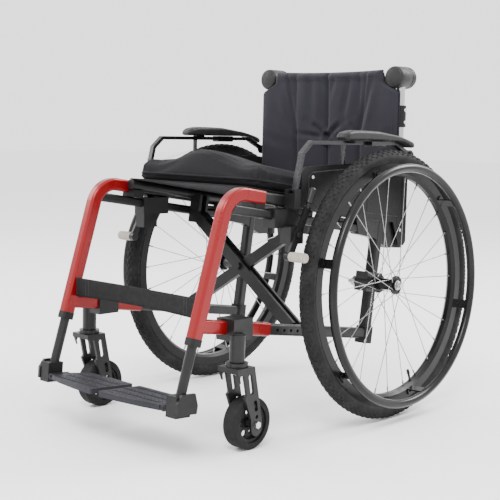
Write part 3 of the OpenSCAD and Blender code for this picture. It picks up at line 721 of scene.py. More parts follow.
def near_line(x, z, a, b):
    """Distance from (x, z) to the segment a-b, and how far along it the nearest point is."""
    ax, az = a
    dx, dz = b[0] - ax, b[1] - az
    t = min(1.0, max(0.0, ((x - ax) * dx + (z - az) * dz) / (dx * dx + dz * dz)))
    return math.hypot(x - ax - t * dx, z - az - t * dz), t


def closed_sheet(name, front, back):
    """A closed shell from two grids of points of one size, joined round their edges."""
    rows, cols = len(front), len(front[0])
    verts = [p for line in front for p in line] + [p for line in back for p in line]
    half = rows * cols
    faces = []
    for r in range(rows - 1):
        for c in range(cols - 1):
            a = r * cols + c
            faces.append((a, a + 1, a + cols + 1, a + cols))
            faces.append((half + a, half + a + cols, half + a + cols + 1, half + a + 1))
    rim = [c for c in range(cols)]
    rim += [r * cols + cols - 1 for r in range(1, rows)]
    rim += [(rows - 1) * cols + c for c in range(cols - 2, -1, -1)]
    rim += [r * cols for r in range(rows - 2, 0, -1)]
    for a, b in zip(rim, rim[1:] + rim[:1]):
        faces.append((b, a, half + a, half + b))
    made = mesh_object(name, verts, faces)
    bm = bmesh.new()
    bm.from_mesh(made.data)
    point_out(bm)
    bm.to_mesh(made.data)
    bm.free()
    made.data.shade_smooth()
    return made


def swollen(obj, pressure=4.0, cap=0.01, voxel=0.005, pins=None):
    """Puffs a closed form as filled cloth, never further than cap, then smooths it once."""
    remesh = obj.modifiers.new("even", "REMESH")
    remesh.mode = "VOXEL"
    remesh.voxel_size = voxel
    baked(obj)
    start = np.array([v.co for v in obj.data.vertices])
    cloth_mod = obj.modifiers.new("fill", "CLOTH")
    set_up = cloth_mod.settings
    set_up.quality = 5
    set_up.mass = 0.3
    set_up.use_pressure = True
    set_up.uniform_pressure_force = pressure
    set_up.effector_weights.gravity = 0.0
    set_up.tension_stiffness = 25
    set_up.compression_stiffness = 12
    set_up.bending_stiffness = 0.6
    if pins is not None:
        group = obj.vertex_groups.new(name="held")
        group.add([v.index for v in obj.data.vertices if pins(v.co)], 1.0, "REPLACE")
        set_up.vertex_group_mass = "held"
    cloth_mod.point_cache.frame_start = 1
    cloth_mod.point_cache.frame_end = 20
    for step in range(1, 21):
        bpy.context.scene.frame_set(step)
    view = bpy.context.evaluated_depsgraph_get()
    done = np.array([v.co for v in obj.evaluated_get(view).data.vertices])
    obj.modifiers.clear()
    obj.vertex_groups.clear()
    bpy.context.scene.frame_set(1)
    shift = done - start
    far = np.linalg.norm(shift, axis=1)
    shift *= (np.minimum(far, cap) / np.maximum(far, 1e-9))[:, None]
    obj.data.vertices.foreach_set("co", (start + shift).astype(np.float32).ravel())
    obj.data.update()
    obj.data.shade_smooth()
    return obj


def relaxed(obj, turns=2, share=0.5):
    mod = obj.modifiers.new("relax", "SMOOTH")
    mod.iterations = turns
    mod.factor = share
    return baked(obj)


CUSHION_HALF = 0.187
CUSHION_U = (-0.419, -0.014)
CUSHION_W = 0.4646


def cushion_top(x, u):
    """Height of the cushion's top above its base: a broad pommel, thigh channels, rear dish."""
    front = smooth_step(-0.10, -0.37, u)
    pommel = 0.027 * math.exp(-((x / 0.088) ** 2)) * front
    channel = 0.003 * math.exp(-(((abs(x) - 0.125) / 0.035) ** 2))
    dish = 0.005 * math.exp(-((x / 0.1) ** 2) - (((u + 0.12) / 0.08) ** 2))
    return 0.0445 + pommel - channel - dish


class CHAIR_OT_cushion(bpy.types.Operator):
    """Seat cushion, its piping and its stitches"""

    bl_idname = "chair.cushion"
    bl_label = "Seat cushion"

    def execute(self, context):
        cols, rows = 45, 49
        top, low = [], []
        for r in range(rows):
            u = CUSHION_U[0] + (CUSHION_U[1] - CUSHION_U[0]) * r / (rows - 1)
            top.append([self.point(x, u, True) for x in self.across(cols)])
            low.append([self.point(x, u, False) for x in self.across(cols)])
        pad = closed_sheet("cushion_cover", top, low)
        swollen(pad, pressure=4.0, cap=sizes().puff, voxel=0.0045,
                pins=lambda co: self.height(co) < 0.004)
        relaxed(pad, 3)
        self.grooves(pad)
        subdivided(pad)
        cover = cloth("cushion_stretch_cloth", [c * 0.55 for c in colours().seat_black],
                      [c * 1.6 + 0.004 for c in colours().seat_black], threads=420, sheen=0.035)
        coat(pad, cover)
        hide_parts("cushion")
        piping = self.piping()
        coat(piping, cover)
        rows_done = self.stitch_rows()
        for obj in (pad, piping, rows_done):
            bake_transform(obj)
        return {"FINISHED"}

    def across(self, cols):
        return [CUSHION_HALF * (2 * c / (cols - 1) - 1) for c in range(cols)]

    def height(self, co):
        return (co.y - AXLE_Y) * math.sin(DUMP) + co.z * math.cos(DUMP) - CUSHION_W

    def edge(self, x, u):
        """Distance in from the cushion's outline."""
        return min(CUSHION_HALF - abs(x), u - CUSHION_U[0], CUSHION_U[1] - u)

    def outline(self, x, u):
        """Pulls the sides in a little between the corners, and rounds the corners."""
        mid_u = (CUSHION_U[0] + CUSHION_U[1]) / 2
        half_u = (CUSHION_U[1] - CUSHION_U[0]) / 2
        a, b = x / CUSHION_HALF, (u - mid_u) / half_u
        corner = max(0.0, abs(a) - 0.86) * max(0.0, abs(b) - 0.86) / 0.0196
        x *= 1 - 0.008 * (1 - b * b) * a * a - 0.022 * corner
        u = mid_u + (u - mid_u) * (1 - 0.008 * (1 - a * a) * b * b - 0.022 * corner)
        return x, u

    def point(self, x, u, top):
        gap = max(0.0, self.edge(x, u))
        turn = min(1.0, gap / 0.009)
        drop = 0.008 * (1 - math.sqrt(max(0.0, 1 - (1 - turn) ** 2)))
        foot = 0.005 * (1 - math.sqrt(max(0.0, 1 - (1 - turn) ** 2)))
        px, pu = self.outline(x, u)
        h = cushion_top(x, u) - drop if top else 0.0012 + foot
        return on_rails(px, pu, CUSHION_W + h)

    def seams(self):
        """Sewn lines on the cover: one along each side, and a crosswise one at the front."""
        lines = [[(sign * 0.176, u) for u in np.linspace(-0.405, -0.028, 60)] for sign in (-1, 1)]
        lines.append([(x, -0.407) for x in np.linspace(-0.172, 0.172, 60)])
        return lines

    def grooves(self, pad):
        lines = self.seams()
        for v in pad.data.vertices:
            h = self.height(v.co)
            if h < 0.02:
                continue
            y, z = v.co.y - AXLE_Y, v.co.z
            u = y * math.cos(DUMP) - z * math.sin(DUMP)
            near = min(min(math.hypot(v.co.x - a, u - b) for a, b in line) for line in lines)
            sink = 0.0022 * math.exp(-((near / 0.0055) ** 2))
            v.co += Vector((0, -math.sin(DUMP), -math.cos(DUMP))) * sink
        pad.data.update()

    def piping(self):
        """The welt round the cushion's lower box seam."""
        lows = []
        n = 40
        half_u = (CUSHION_U[1] - CUSHION_U[0]) / 2
        mid_u = (CUSHION_U[0] + CUSHION_U[1]) / 2
        for step in range(4 * n):
            t = 2 * math.pi * step / (4 * n)
            c, s = math.cos(t), math.sin(t)
            power = 0.16
            x = (CUSHION_HALF + 0.0035) * math.copysign(abs(c) ** power, c)
            u = mid_u + (half_u + 0.0035) * math.copysign(abs(s) ** power, s)
            lows.append(on_rails(x * 0.992, u, CUSHION_W + 0.0155))
        return tube("cushion_piping", lows, 0.0024, True)

    def stitch_rows(self):
        lines = []
        for line in self.seams():
            for side in (-0.004, 0.004):
                cross = abs(line[0][0] - line[-1][0]) > 0.1
                lines.append([on_rails(x if cross else x + side, u + side if cross else u,
                                       CUSHION_W + cushion_top(x, u) + 0.0028) for x, u in line])
        facing = on_rails(0, 0, 1) - on_rails(0, 0, 0)
        mat = thread("cushion_thread", (0.03, 0.03, 0.032))
        return stitches("cushion_stitches", lines, facing, mat)


def tube(name, points, radius, closed=False, sides=8):
    """A round tube along points, closed into a loop or capped."""
    pts = [Vector(p) for p in points]
    n = len(pts)
    bm = bmesh.new()
    rings = []
    guide = Vector((0.13, 0.31, 0.94)).normalized()
    for i, p in enumerate(pts):
        ahead = pts[(i + 1) % n] if closed or i < n - 1 else p
        behind = pts[i - 1] if closed or i > 0 else p
        way = (ahead - behind).normalized()
        side = (guide - way * guide.dot(way)).normalized()
        guide = side
        other = way.cross(side)
        rings.append([bm.verts.new(p + radius * (side * math.cos(a) + other * math.sin(a)))
                      for a in (2 * math.pi * k / sides for k in range(sides))])
    for i in range(n if closed else n - 1):
        here, there = rings[i], rings[(i + 1) % n]
        shift = 0
        if closed and i == n - 1:
            shift = min(range(sides), key=lambda s: (here[0].co - there[s].co).length)
        for k in range(sides):
            bm.faces.new((here[k], here[(k + 1) % sides],
                          there[(k + 1 + shift) % sides], there[(k + shift) % sides]))
    if not closed:
        bm.faces.new(rings[0])
        bm.faces.new(rings[-1])
    bmesh.ops.recalc_face_normals(bm, faces=bm.faces)
    return bm_object(name, bm)


BACK_LOW = 0.480
BACK_HIGH = 0.782
BACK_HALF = 0.2105
BACK_FACE = 0.2555
TUFT_Z = 0.622
SEAMS = (-0.098, 0.0, 0.098)
SEAM_FAN = 0.16


class CHAIR_OT_back(bpy.types.Operator):
    """Back upholstery with its panels, gathers, hems and stitches"""

    bl_idname = "chair.back"
    bl_label = "Back upholstery"

    folds = (
        ((0.0, TUFT_Z), (-0.034, 0.650), 0.0050, 0.006),
        ((0.0, TUFT_Z), (0.038, 0.652), 0.0050, 0.006),
        ((0.0, TUFT_Z), (-0.062, 0.664), 0.0034, 0.007),
        ((0.0, TUFT_Z), (0.060, 0.664), 0.0030, 0.007),
        ((0.0, TUFT_Z), (-0.098, 0.630), 0.0048, 0.006),
        ((0.0, TUFT_Z), (0.090, 0.632), 0.0030, 0.006),
        ((0.052, 0.668), (0.072, 0.772), 0.0034, 0.008),
        ((-0.046, 0.672), (-0.052, 0.768), 0.0022, 0.010),
        ((0.098, 0.628), (0.142, 0.768), 0.0042, 0.008),
        ((0.082, 0.652), (0.098, 0.622), 0.0030, 0.006),
        ((-0.098, 0.640), (-0.142, 0.744), 0.0026, 0.010),
        ((-0.120, 0.640), (-0.150, 0.690), 0.0018, 0.010),
        ((-0.205, 0.626), (-0.130, 0.600), 0.0016, 0.010),
        ((0.150, 0.600), (0.205, 0.640), 0.0016, 0.010),
        ((0.030, 0.775), (0.010, 0.722), 0.0022, 0.008),
        ((-0.028, 0.775), (-0.008, 0.730), 0.0018, 0.008),
    )

    def execute(self, context):
        cols, rows = 141, 103
        front, back = [], []
        for r in range(rows):
            z = BACK_LOW + (BACK_HIGH - BACK_LOW) * r / (rows - 1)
            half = self.half_width(z)
            front.append([self.point(half * (2 * c / (cols - 1) - 1), z, half, True) for c in range(cols)])
            back.append([self.point(half * (2 * c / (cols - 1) - 1), z, half, False) for c in range(cols)])
        sheet = closed_sheet("back_cover", front, back)
        nylon = cloth("back_nylon", [c * 0.62 for c in colours().back_grey],
                      [c * 1.35 for c in colours().back_grey], threads=300, sheen=0.10)
        coat(sheet, nylon)
        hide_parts("back_upholstery")
        sewn = self.sewing()
        bound = self.binding()
        coat(bound, webbing("back_binding", (0.004, 0.004, 0.005), (0.014, 0.0135, 0.017)))
        straps = self.rear_straps()
        for obj in (sheet, sewn, bound, straps):
            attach(obj, "frame_right")
            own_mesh(obj)
        return {"FINISHED"}

    def half_width(self, z):
        return BACK_HALF - 0.0435 * smooth_step(0.726, 0.756, z) - 0.005 * smooth_step(0.756, 0.776, z)

    def sag(self, x, z):
        """The panel hangs between the canes, deeper towards the seat."""
        reach = 1 - (x / BACK_HALF) ** 2
        return (0.006 + 0.006 * smooth_step(0.74, 0.55, z)) * reach

    def padding(self, x, z):
        """How far the front stands out: pillows between the seams, less at seams and folds."""
        bands = (-BACK_HALF,) + SEAMS + (BACK_HALF,)
        lift = 0.0
        for a, b in zip(bands, bands[1:]):
            if a <= x <= b:
                lift = 0.0075 * math.sqrt(max(0.0, 4 * (x - a) * (b - x) / (b - a) ** 2))
        for seam in SEAMS:
            fan = (z - TUFT_Z) * SEAM_FAN * math.copysign(1, seam) if seam and z > TUFT_Z else 0.0
            at = seam + fan
            lift -= 0.0035 * math.exp(-(((x - at) / 0.0045) ** 2))
        for a, b, depth, width in self.folds:
            gap, t = near_line(x, z, a, b)
            fade = (1 - 0.65 * t) if a == (0.0, TUFT_Z) else math.sin(math.pi * (0.1 + 0.8 * t))
            lift -= depth * fade * math.exp(-((gap / width) ** 2))
            lift += 0.4 * depth * fade * math.exp(-(((gap - 2 * width) / width) ** 2))
        above = smooth_step(0.62, 0.70, z)
        lift += 0.0016 * above * math.sin(x * 88 + 3 * z) * math.cos(x * 31 - 14 * z)
        lift += 0.0035 * math.exp(-(((z - 0.772) / 0.010) ** 2))
        return max(lift, -0.0032)

    def point(self, x, z, half, face):
        gap = min(half - abs(x), z - BACK_LOW + 0.0005, BACK_HIGH - z + 0.0005)
        edge = min(1.0, max(0.0, gap / 0.012))
        round_off = math.sqrt(max(0.0, 1 - (1 - edge) ** 2))
        top_dip = 0.0035 * (1 - (x / half) ** 2) * smooth_step(0.74, BACK_HIGH, z)
        if face:
            y = BACK_FACE - round_off * (0.0062 + self.padding(x, z))
        else:
            y = BACK_FACE + 0.001 + round_off * 0.0035
        return Vector((x, y + self.sag(x, z), z - top_dip))

    def surface(self, x, z):
        return self.point(x, z, self.half_width(z), True) + Vector((0, -0.0003, 0))

    def sewing(self):
        lines = []
        for seam in SEAMS:
            for side in (-0.0045, 0.0045):
                lines.append([self.surface(seam + side, z) for z in np.linspace(0.49, 0.62, 40)])
        for side in (-1, 1):
            lines.append([self.surface(side * 0.199, z) for z in np.linspace(0.49, 0.715, 60)])
            lines.append([self.surface(side * (self.half_width(z) - 0.011), z)
                          for z in np.linspace(0.72, 0.762, 16)])
        lines.append([self.surface(x, 0.762) for x in np.linspace(-0.146, 0.146, 90)])
        lines.append([self.surface(x, 0.4945) for x in np.linspace(-0.195, 0.195, 110)])
        mat = thread("back_thread", (0.026, 0.025, 0.031))
        return stitches("back_stitches", lines, Vector((0, -1, 0)), mat)

    def binding(self):
        """The narrow woven edge that finishes both sides and the foot of the back."""
        strips = []
        for side in (-1, 1):
            line = [self.point(side * self.half_width(z), z, self.half_width(z), True)
                    + Vector((side * 0.0002, 0.0005, 0)) for z in np.linspace(0.482, 0.775, 70)]
            strips.append(tube(f"edge_{side}", line, 0.0019))
        line = [self.point(x, BACK_LOW, BACK_HALF, True) + Vector((0, 0.0005, 0))
                for x in np.linspace(-0.208, 0.208, 90)]
        strips.append(tube("edge_low", line, 0.0019))
        return joined("back_edge_binding", strips)

    def rear_straps(self):
        """Tension straps behind the padding, from cane to cane."""
        strips = []
        for z in (0.515, 0.575, 0.705):
            front = [[Vector((x, 0.2608 + self.sag(x, z) + 0.0002, z + h))
                      for x in np.linspace(-0.186, 0.186, 40)]
                     for h in (-0.019, 0.019)]
            back = [[p + Vector((0, 0.0016, 0)) for p in line] for line in front]
            strips.append(closed_sheet(f"strap_{z}", front, back))
        straps = joined("back_tension_straps", strips)
        return coat(straps, webbing("tension_webbing", (0.008, 0.008, 0.009), (0.026, 0.026, 0.028)))


def lathe(name, profile, sides=48, place=None):
    """Turns (along, radius) pairs about X, closed at both ends, then puts the result in place."""
    bm = bmesh.new()
    rings = []
    for along, radius in profile:
        if radius < 1e-6:
            rings.append([bm.verts.new((along, 0, 0))])
        else:
            rings.append([bm.verts.new((along, radius * math.cos(a), radius * math.sin(a)))
                          for a in (2 * math.pi * k / sides for k in range(sides))])
    for a, b in zip(rings, rings[1:]):
        for k in range(sides):
            m = (k + 1) % sides
            if len(a) == 1:
                bm.faces.new((a[0], b[m], b[k]))
            elif len(b) == 1:
                bm.faces.new((a[k], a[m], b[0]))
            else:
                bm.faces.new((a[k], a[m], b[m], b[k]))
    point_out(bm)
    if place is not None:
        bmesh.ops.transform(bm, matrix=place, verts=bm.verts)
    return bm_object(name, bm)


CALF_HALF = 0.1875
CALF_Z = 0.288


class CHAIR_OT_sling(bpy.types.Operator):
    """Seat sling and calf strap"""

    bl_idname = "chair.sling"
    bl_label = "Seat sling and calf strap"

    def execute(self, context):
        self.sling()
        self.calf()
        return {"FINISHED"}

    def sling(self):
        us = np.linspace(-0.441, 0.0075, 46)
        xs = np.linspace(-0.1838, 0.1838, 42)
        low = [[on_rails(x, u, 0.4615) for x in xs] for u in us]
        top = [[on_rails(x, u, 0.4637) for x in xs] for u in us]
        cloth_piece = closed_sheet("seat_sling_cloth", top, low)
        mat = cloth("sling_nylon", (0.007, 0.007, 0.008), (0.022, 0.022, 0.024), threads=260, sheen=0.02)
        coat(cloth_piece, mat)
        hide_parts("seat_sling")
        lines = [[on_rails(side * x, u, 0.4612) for u in us] for side in (-1, 1) for x in (0.150, 0.158)]
        lines.append([on_rails(x, -0.433, 0.4612) for x in xs])
        facing = on_rails(0, 0, 0) - on_rails(0, 0, 1)
        sewn = stitches("seat_sling_stitches", lines, facing, thread("sling_thread", (0.05, 0.05, 0.052)))
        for obj in (cloth_piece, sewn):
            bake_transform(obj)

    def calf_y(self, x):
        """The webbing's front face, which bows back between the tubes."""
        return -0.3592 + 0.011 * (1 - (x / CALF_HALF) ** 2)

    def calf(self):
        """Webbing between the front tubes; it bows back a little and twists at its ends."""
        front, back = [], []
        for h in np.linspace(-0.0205, 0.0205, 7):
            line = []
            for x in np.linspace(-0.187, 0.187, 61):
                reach = 1 - (x / CALF_HALF) ** 2
                line.append(Vector((x, self.calf_y(x), CALF_Z + h * (0.93 + 0.07 * (1 - reach)))))
            front.append(line)
            back.append([p + Vector((0, 0.0022, 0)) for p in line])
        strap = closed_sheet("calf_webbing", front, back)
        coat(strap, webbing("calf_strap_webbing", (0.0035, 0.0035, 0.004), (0.010, 0.010, 0.011)))
        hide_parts("calf_strap")
        lines = []
        for side in (-1, 1):
            for x in (0.150, 0.158):
                at = side * x
                y = self.calf_y(at) - 0.0004
                lines.append([Vector((at, y, z)) for z in np.linspace(CALF_Z - 0.017, CALF_Z + 0.017, 8)])
        sewn = stitches("calf_strap_stitches", lines, Vector((0, -1, 0)),
                        thread("calf_thread", (0.05, 0.05, 0.052)))
        for obj in (strap, sewn):
            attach(obj, "frame_right")
            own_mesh(obj)


ARM_H = 0.613


class CHAIR_OT_arm_pads(bpy.types.Operator):
    """Self-skinned foam pads on the armrests"""

    bl_idname = "chair.arm_pads"
    bl_label = "Arm pads"

    tops = ((-0.150, 0.0125), (-0.146, 0.0195), (-0.136, 0.0245), (-0.118, 0.0278), (-0.080, 0.0280),
            (-0.030, 0.0268), (0.040, 0.0182), (0.080, 0.0096), (0.098, 0.0045), (0.107, -0.003))
    lows = ((-0.150, 0.0105), (-0.145, 0.0063), (0.055, 0.0063), (0.075, 0.0006), (0.100, -0.0100),
            (0.107, -0.0075))

    def execute(self, context):
        foam = skin_foam("arm_pad_skin", (0.007, 0.007, 0.0078), 0.42)
        for side, sign in SIDES:
            pad = self.pad(side, sign)
            coat(pad, foam)
            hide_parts(f"arm_pad_{side}")
            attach(pad, f"armrest_{side}")
            bracket = self.bracket(side, sign)
            coat(bracket, moulded(f"pad_bracket_plastic_{side}", (0.012, 0.012, 0.013), 0.35))
            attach(bracket, f"armrest_{side}")
        return {"FINISHED"}

    def height(self, table, y):
        return float(np.interp(y, [a for a, _ in table], [b for _, b in table]))

    def pad(self, side, sign):
        stations = np.concatenate([np.linspace(-0.150, -0.136, 9), np.linspace(-0.130, 0.090, 45),
                                   np.linspace(0.094, 0.107, 9)])
        sides = 32
        bm = bmesh.new()
        rings = []
        for y in stations:
            top, low = self.height(self.tops, y), self.height(self.lows, y)
            end = min(1.0, (y + 0.1504) / 0.016, (0.1074 - y) / 0.014)
            half = 0.0168 * (0.42 + 0.58 * math.sqrt(max(0.0, 1 - (1 - end) ** 2)))
            middle = (top + low) / 2
            ring_now = []
            for k in range(sides):
                a = 2 * math.pi * k / sides
                c, s = math.cos(a), math.sin(a)
                x = half * math.copysign(abs(c) ** 0.55, c)
                reach = (top - middle) if s > 0 else (middle - low)
                z = middle + reach * math.copysign(abs(s) ** (0.72 if s > 0 else 0.4), s)
                ring_now.append(bm.verts.new((sign * 0.240 + x, y + AXLE_Y, ARM_H + z)))
            rings.append(ring_now)
        for a, b in zip(rings, rings[1:]):
            for k in range(sides):
                bm.faces.new((a[k], a[(k + 1) % sides], b[(k + 1) % sides], b[k]))
        bm.faces.new(rings[0])
        bm.faces.new(rings[-1])
        point_out(bm)
        return subdivided(bm_object(f"arm_pad_skin_{side}", bm))

    def bracket(self, side, sign):
        """Clip and screw under the pad, just behind its nose."""
        bm = bmesh.new()
        bmesh.ops.create_cube(bm, size=1.0)
        bmesh.ops.scale(bm, vec=(0.016, 0.030, 0.007), verts=bm.verts)
        bmesh.ops.bevel(bm, geom=bm.edges[:], offset=0.0018, segments=3, affect="EDGES")
        bmesh.ops.translate(bm, vec=(sign * 0.243, AXLE_Y - 0.100, ARM_H + 0.0028), verts=bm.verts)
        return bm_object(f"arm_pad_clip_{side}", bm, False)


class CHAIR_OT_grips(bpy.types.Operator):
    """Grips at the top of the back canes"""

    bl_idname = "chair.grips"
    bl_label = "Push grips"

    profile = ((0.0, 0.0), (0.0, 0.0205), (0.0008, 0.0222), (0.0034, 0.0246), (0.0060, 0.0254),
               (0.0110, 0.0257), (0.0420, 0.0259), (0.0428, 0.0254), (0.0436, 0.0259), (0.0500, 0.0258),
               (0.0508, 0.0253), (0.0516, 0.0257), (0.0575, 0.0248), (0.0625, 0.0222), (0.0648, 0.0188),
               (0.0656, 0.0150), (0.0656, 0.0))

    def execute(self, context):
        foam = skin_foam("grip_rubber", (0.008, 0.008, 0.0084), 0.46)
        for side, sign in SIDES:
            place = Matrix.Translation((sign * 0.195, 0.2502, 0.764)) @ Matrix.Rotation(math.pi / 2, 4, "Z")
            grip = lathe(f"push_grip_{side}", self.profile, 56, place)
            coat(grip, foam)
            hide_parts(f"back_grip_{side}")
            body = "frame_left" if side == "left" else "frame_right"
            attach(grip, body)
        return {"FINISHED"}


def in_wheel(obj, side):
    obj.data.transform(wheel_place(side))
    return obj


def block(name, long, wide, high, lean=0.0, skew=0.0):
    """A tread lug: a low block, narrower on top, leaned about the tyre's section."""
    bm = bmesh.new()
    low, top = [], []
    for sx, sy in ((-1, -1), (1, -1), (1, 1), (-1, 1)):
        x, y = sx * wide / 2, sy * long / 2
        low.append(bm.verts.new((x, y + skew * x, -high)))
        top.append(bm.verts.new((x * 0.74, (y + skew * x) * 0.8, high)))
    bm.faces.new(top)
    bm.faces.new(low[::-1])
    for k in range(4):
        bm.faces.new((low[k], low[(k + 1) % 4], top[(k + 1) % 4], top[k]))
    point_out(bm)
    bmesh.ops.rotate(bm, cent=(0, 0, 0), matrix=Matrix.Rotation(lean, 3, "Y"), verts=bm.verts)
    made = pattern(name, bm)
    made.data.shade_flat()
    return made


class CHAIR_OT_treads(bpy.types.Operator):
    """Rear tyres with a moulded tread, and sidewall lines"""

    bl_idname = "chair.treads"
    bl_label = "Rear tyre treads"

    middle = 0.2825
    section = 0.0172

    def execute(self, context):
        mat = rubber("tread_rubber", [c * 0.92 for c in colours().tyre_grey], 0.05)
        for side, sign in SIDES:
            parts = [self.carcass(side)]
            count = sizes().tread_count
            parts.append(self.lugs("crown", count, 0.0, 0.0086, 0.0040, 0.35, 0.0, mat))
            for sx in (-1, 1):
                parts.append(self.lugs("inner", count, sx * 20, 0.0080, 0.0044, sx * -0.45, 0.5, mat))
                parts.append(self.lugs("outer", count, sx * 41, 0.0088, 0.0048, sx * 0.45, 0.0, mat))
                parts.append(self.lugs("edge", count, sx * 60, 0.0064, 0.0030, sx * 0.1, 0.5, mat))
            for part in parts:
                coat(part, mat)
            tyre = in_wheel(joined(f"tread_tyre_{side}", parts), side)
            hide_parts(f"tyre_{side}")
            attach(tyre, f"wheel_{side}")
            self.valve(side)
        return {"FINISHED"}

    def lugs(self, name, count, degrees, long, wide, skew, phase, mat):
        lean = math.radians(degrees)
        reach = self.section - 0.0002 if degrees else self.section - 0.0003
        radius = self.middle + reach * math.cos(lean)
        shape = block(f"{name}_lug", long, wide, 0.00055, lean, skew)
        made = ring(name, shape, count, radius, reach * math.sin(lean), mat, phase)
        bpy.data.objects.remove(shape)
        return made

    def carcass(self, side):
        """The tyre's own body: a round section with grooves between the lug rows and two wall lines."""
        profile = []
        sides = 64
        for k in range(sides):
            a = 2 * math.pi * k / sides
            turn = abs(math.degrees(a if a <= math.pi else a - 2 * math.pi))
            r = self.section - 0.0007
            if turn < 66:
                r -= 0.0007 * (0.5 + 0.5 * math.cos(math.radians(turn * 18)))
            for wall in (88, 104):
                r += 0.0007 * math.exp(-(((turn - wall) / 2.6) ** 2))
            if turn > 150:
                r -= 0.0006
            profile.append((r * math.sin(a), self.middle + r * math.cos(a)))
        bm = bmesh.new()
        turns = 168
        rings = [[bm.verts.new((x, radius * math.cos(t), radius * math.sin(t))) for x, radius in profile]
                 for t in (2 * math.pi * k / turns for k in range(turns))]
        for k in range(turns):
            a, b = rings[k], rings[(k + 1) % turns]
            for j in range(sides):
                m = (j + 1) % sides
                bm.faces.new((a[j], a[m], b[m], b[j]))
        point_out(bm)
        return bm_object(f"carcass_{side}", bm)

    def valve(self, side):
        """Tyre valve and its cap, on the inner side of the rim."""
        place = wheel_place(side) @ Matrix.Rotation(math.radians(200), 4, "X")
        place = place @ Matrix.Translation((0, 0, 0.2445)) @ Matrix.Rotation(math.pi / 2, 4, "Y")
        stem = lathe(f"valve_{side}", ((-0.001, 0.0), (-0.001, 0.0036), (0.0035, 0.0036), (0.004, 0.0027),
                                       (0.018, 0.0027), (0.0182, 0.0037), (0.0270, 0.0035), (0.0285, 0.0026),
                                       (0.0287, 0.0)), 20, place)
        coat(stem, moulded(f"valve_cap_{side}", (0.015, 0.015, 0.016), 0.3))
        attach(stem, f"wheel_{side}")


PLATE_FRONT = -0.458
PLATE_Z = 0.098
PLATE_T = 0.011


class CHAIR_OT_plates(bpy.types.Operator):
    """Footplates: grip ribs on their tops"""

    bl_idname = "chair.plates"
    bl_label = "Footplate ribs"

    def execute(self, context):
        grey = moulded("footplate_grey", colours().plate_grey, 0.5, 1200)
        dress("footplate", grey)
        rib = self.rib()
        for side, sign in SIDES:
            spots, outs, alongs = self.herringbone(sign)
            ribs = row(f"footplate_ribs_{side}", rib, spots, outs, alongs, grey)
            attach(ribs, f"footplate_{side}")
        bpy.data.objects.remove(rib)
        return {"FINISHED"}

    def rib(self):
        """A rounded grip rib, 15 mm long, low enough to stay in the plate's own skin."""
        bm = bmesh.new()
        bmesh.ops.create_uvsphere(bm, u_segments=12, v_segments=6, radius=1.0)
        for v in bm.verts:
            v.co = Vector((v.co.x * 0.0075, v.co.y * 0.0013, v.co.z * 0.0009))
        return pattern("plate_rib", bm)

    def herringbone(self, sign):
        """Spots in a herringbone over the plate's flat top, which falls towards the heel."""
        lean = math.radians(3.5)
        up = Vector((0, math.sin(lean), math.cos(lean)))
        gap = sizes().rib_gap
        spots, outs, alongs = [], [], []
        for i in range(int(0.138 / gap)):
            for j in range(6):
                x, y = 0.022 + i * gap, 0.020 + j * 0.0148
                if x > 0.150 and y < 0.03:
                    continue
                spots.append(Vector((sign * x, PLATE_FRONT + y * math.cos(lean) + PLATE_T * math.sin(lean),
                                     PLATE_Z - y * math.sin(lean) + PLATE_T * math.cos(lean))))
                outs.append(up)
                way = 1 if j % 2 else -1
                alongs.append(Vector((way * 0.7 * sign, 0.7, 0)))
        return spots, outs, alongs


def screw_shape():
    """A button-head screw with a hexagon socket, its head along Z."""
    bm = bmesh.new()
    rings = []
    sides = 18
    for radius, z in ((0.0040, 0.0), (0.0040, 0.0008), (0.0034, 0.0019), (0.0024, 0.0024),
                      (0.0016, 0.0024), (0.0015, 0.0009)):
        rings.append([bm.verts.new((radius * math.cos(a), radius * math.sin(a), z))
                      for a in (2 * math.pi * k / sides for k in range(sides))])
    for a, b in zip(rings, rings[1:]):
        for k in range(sides):
            m = (k + 1) % sides
            bm.faces.new((a[k], a[m], b[m], b[k]))
    bm.faces.new(rings[0][::-1])
    bm.faces.new(rings[-1])
    point_out(bm)
    return pattern("screw_shape", bm)


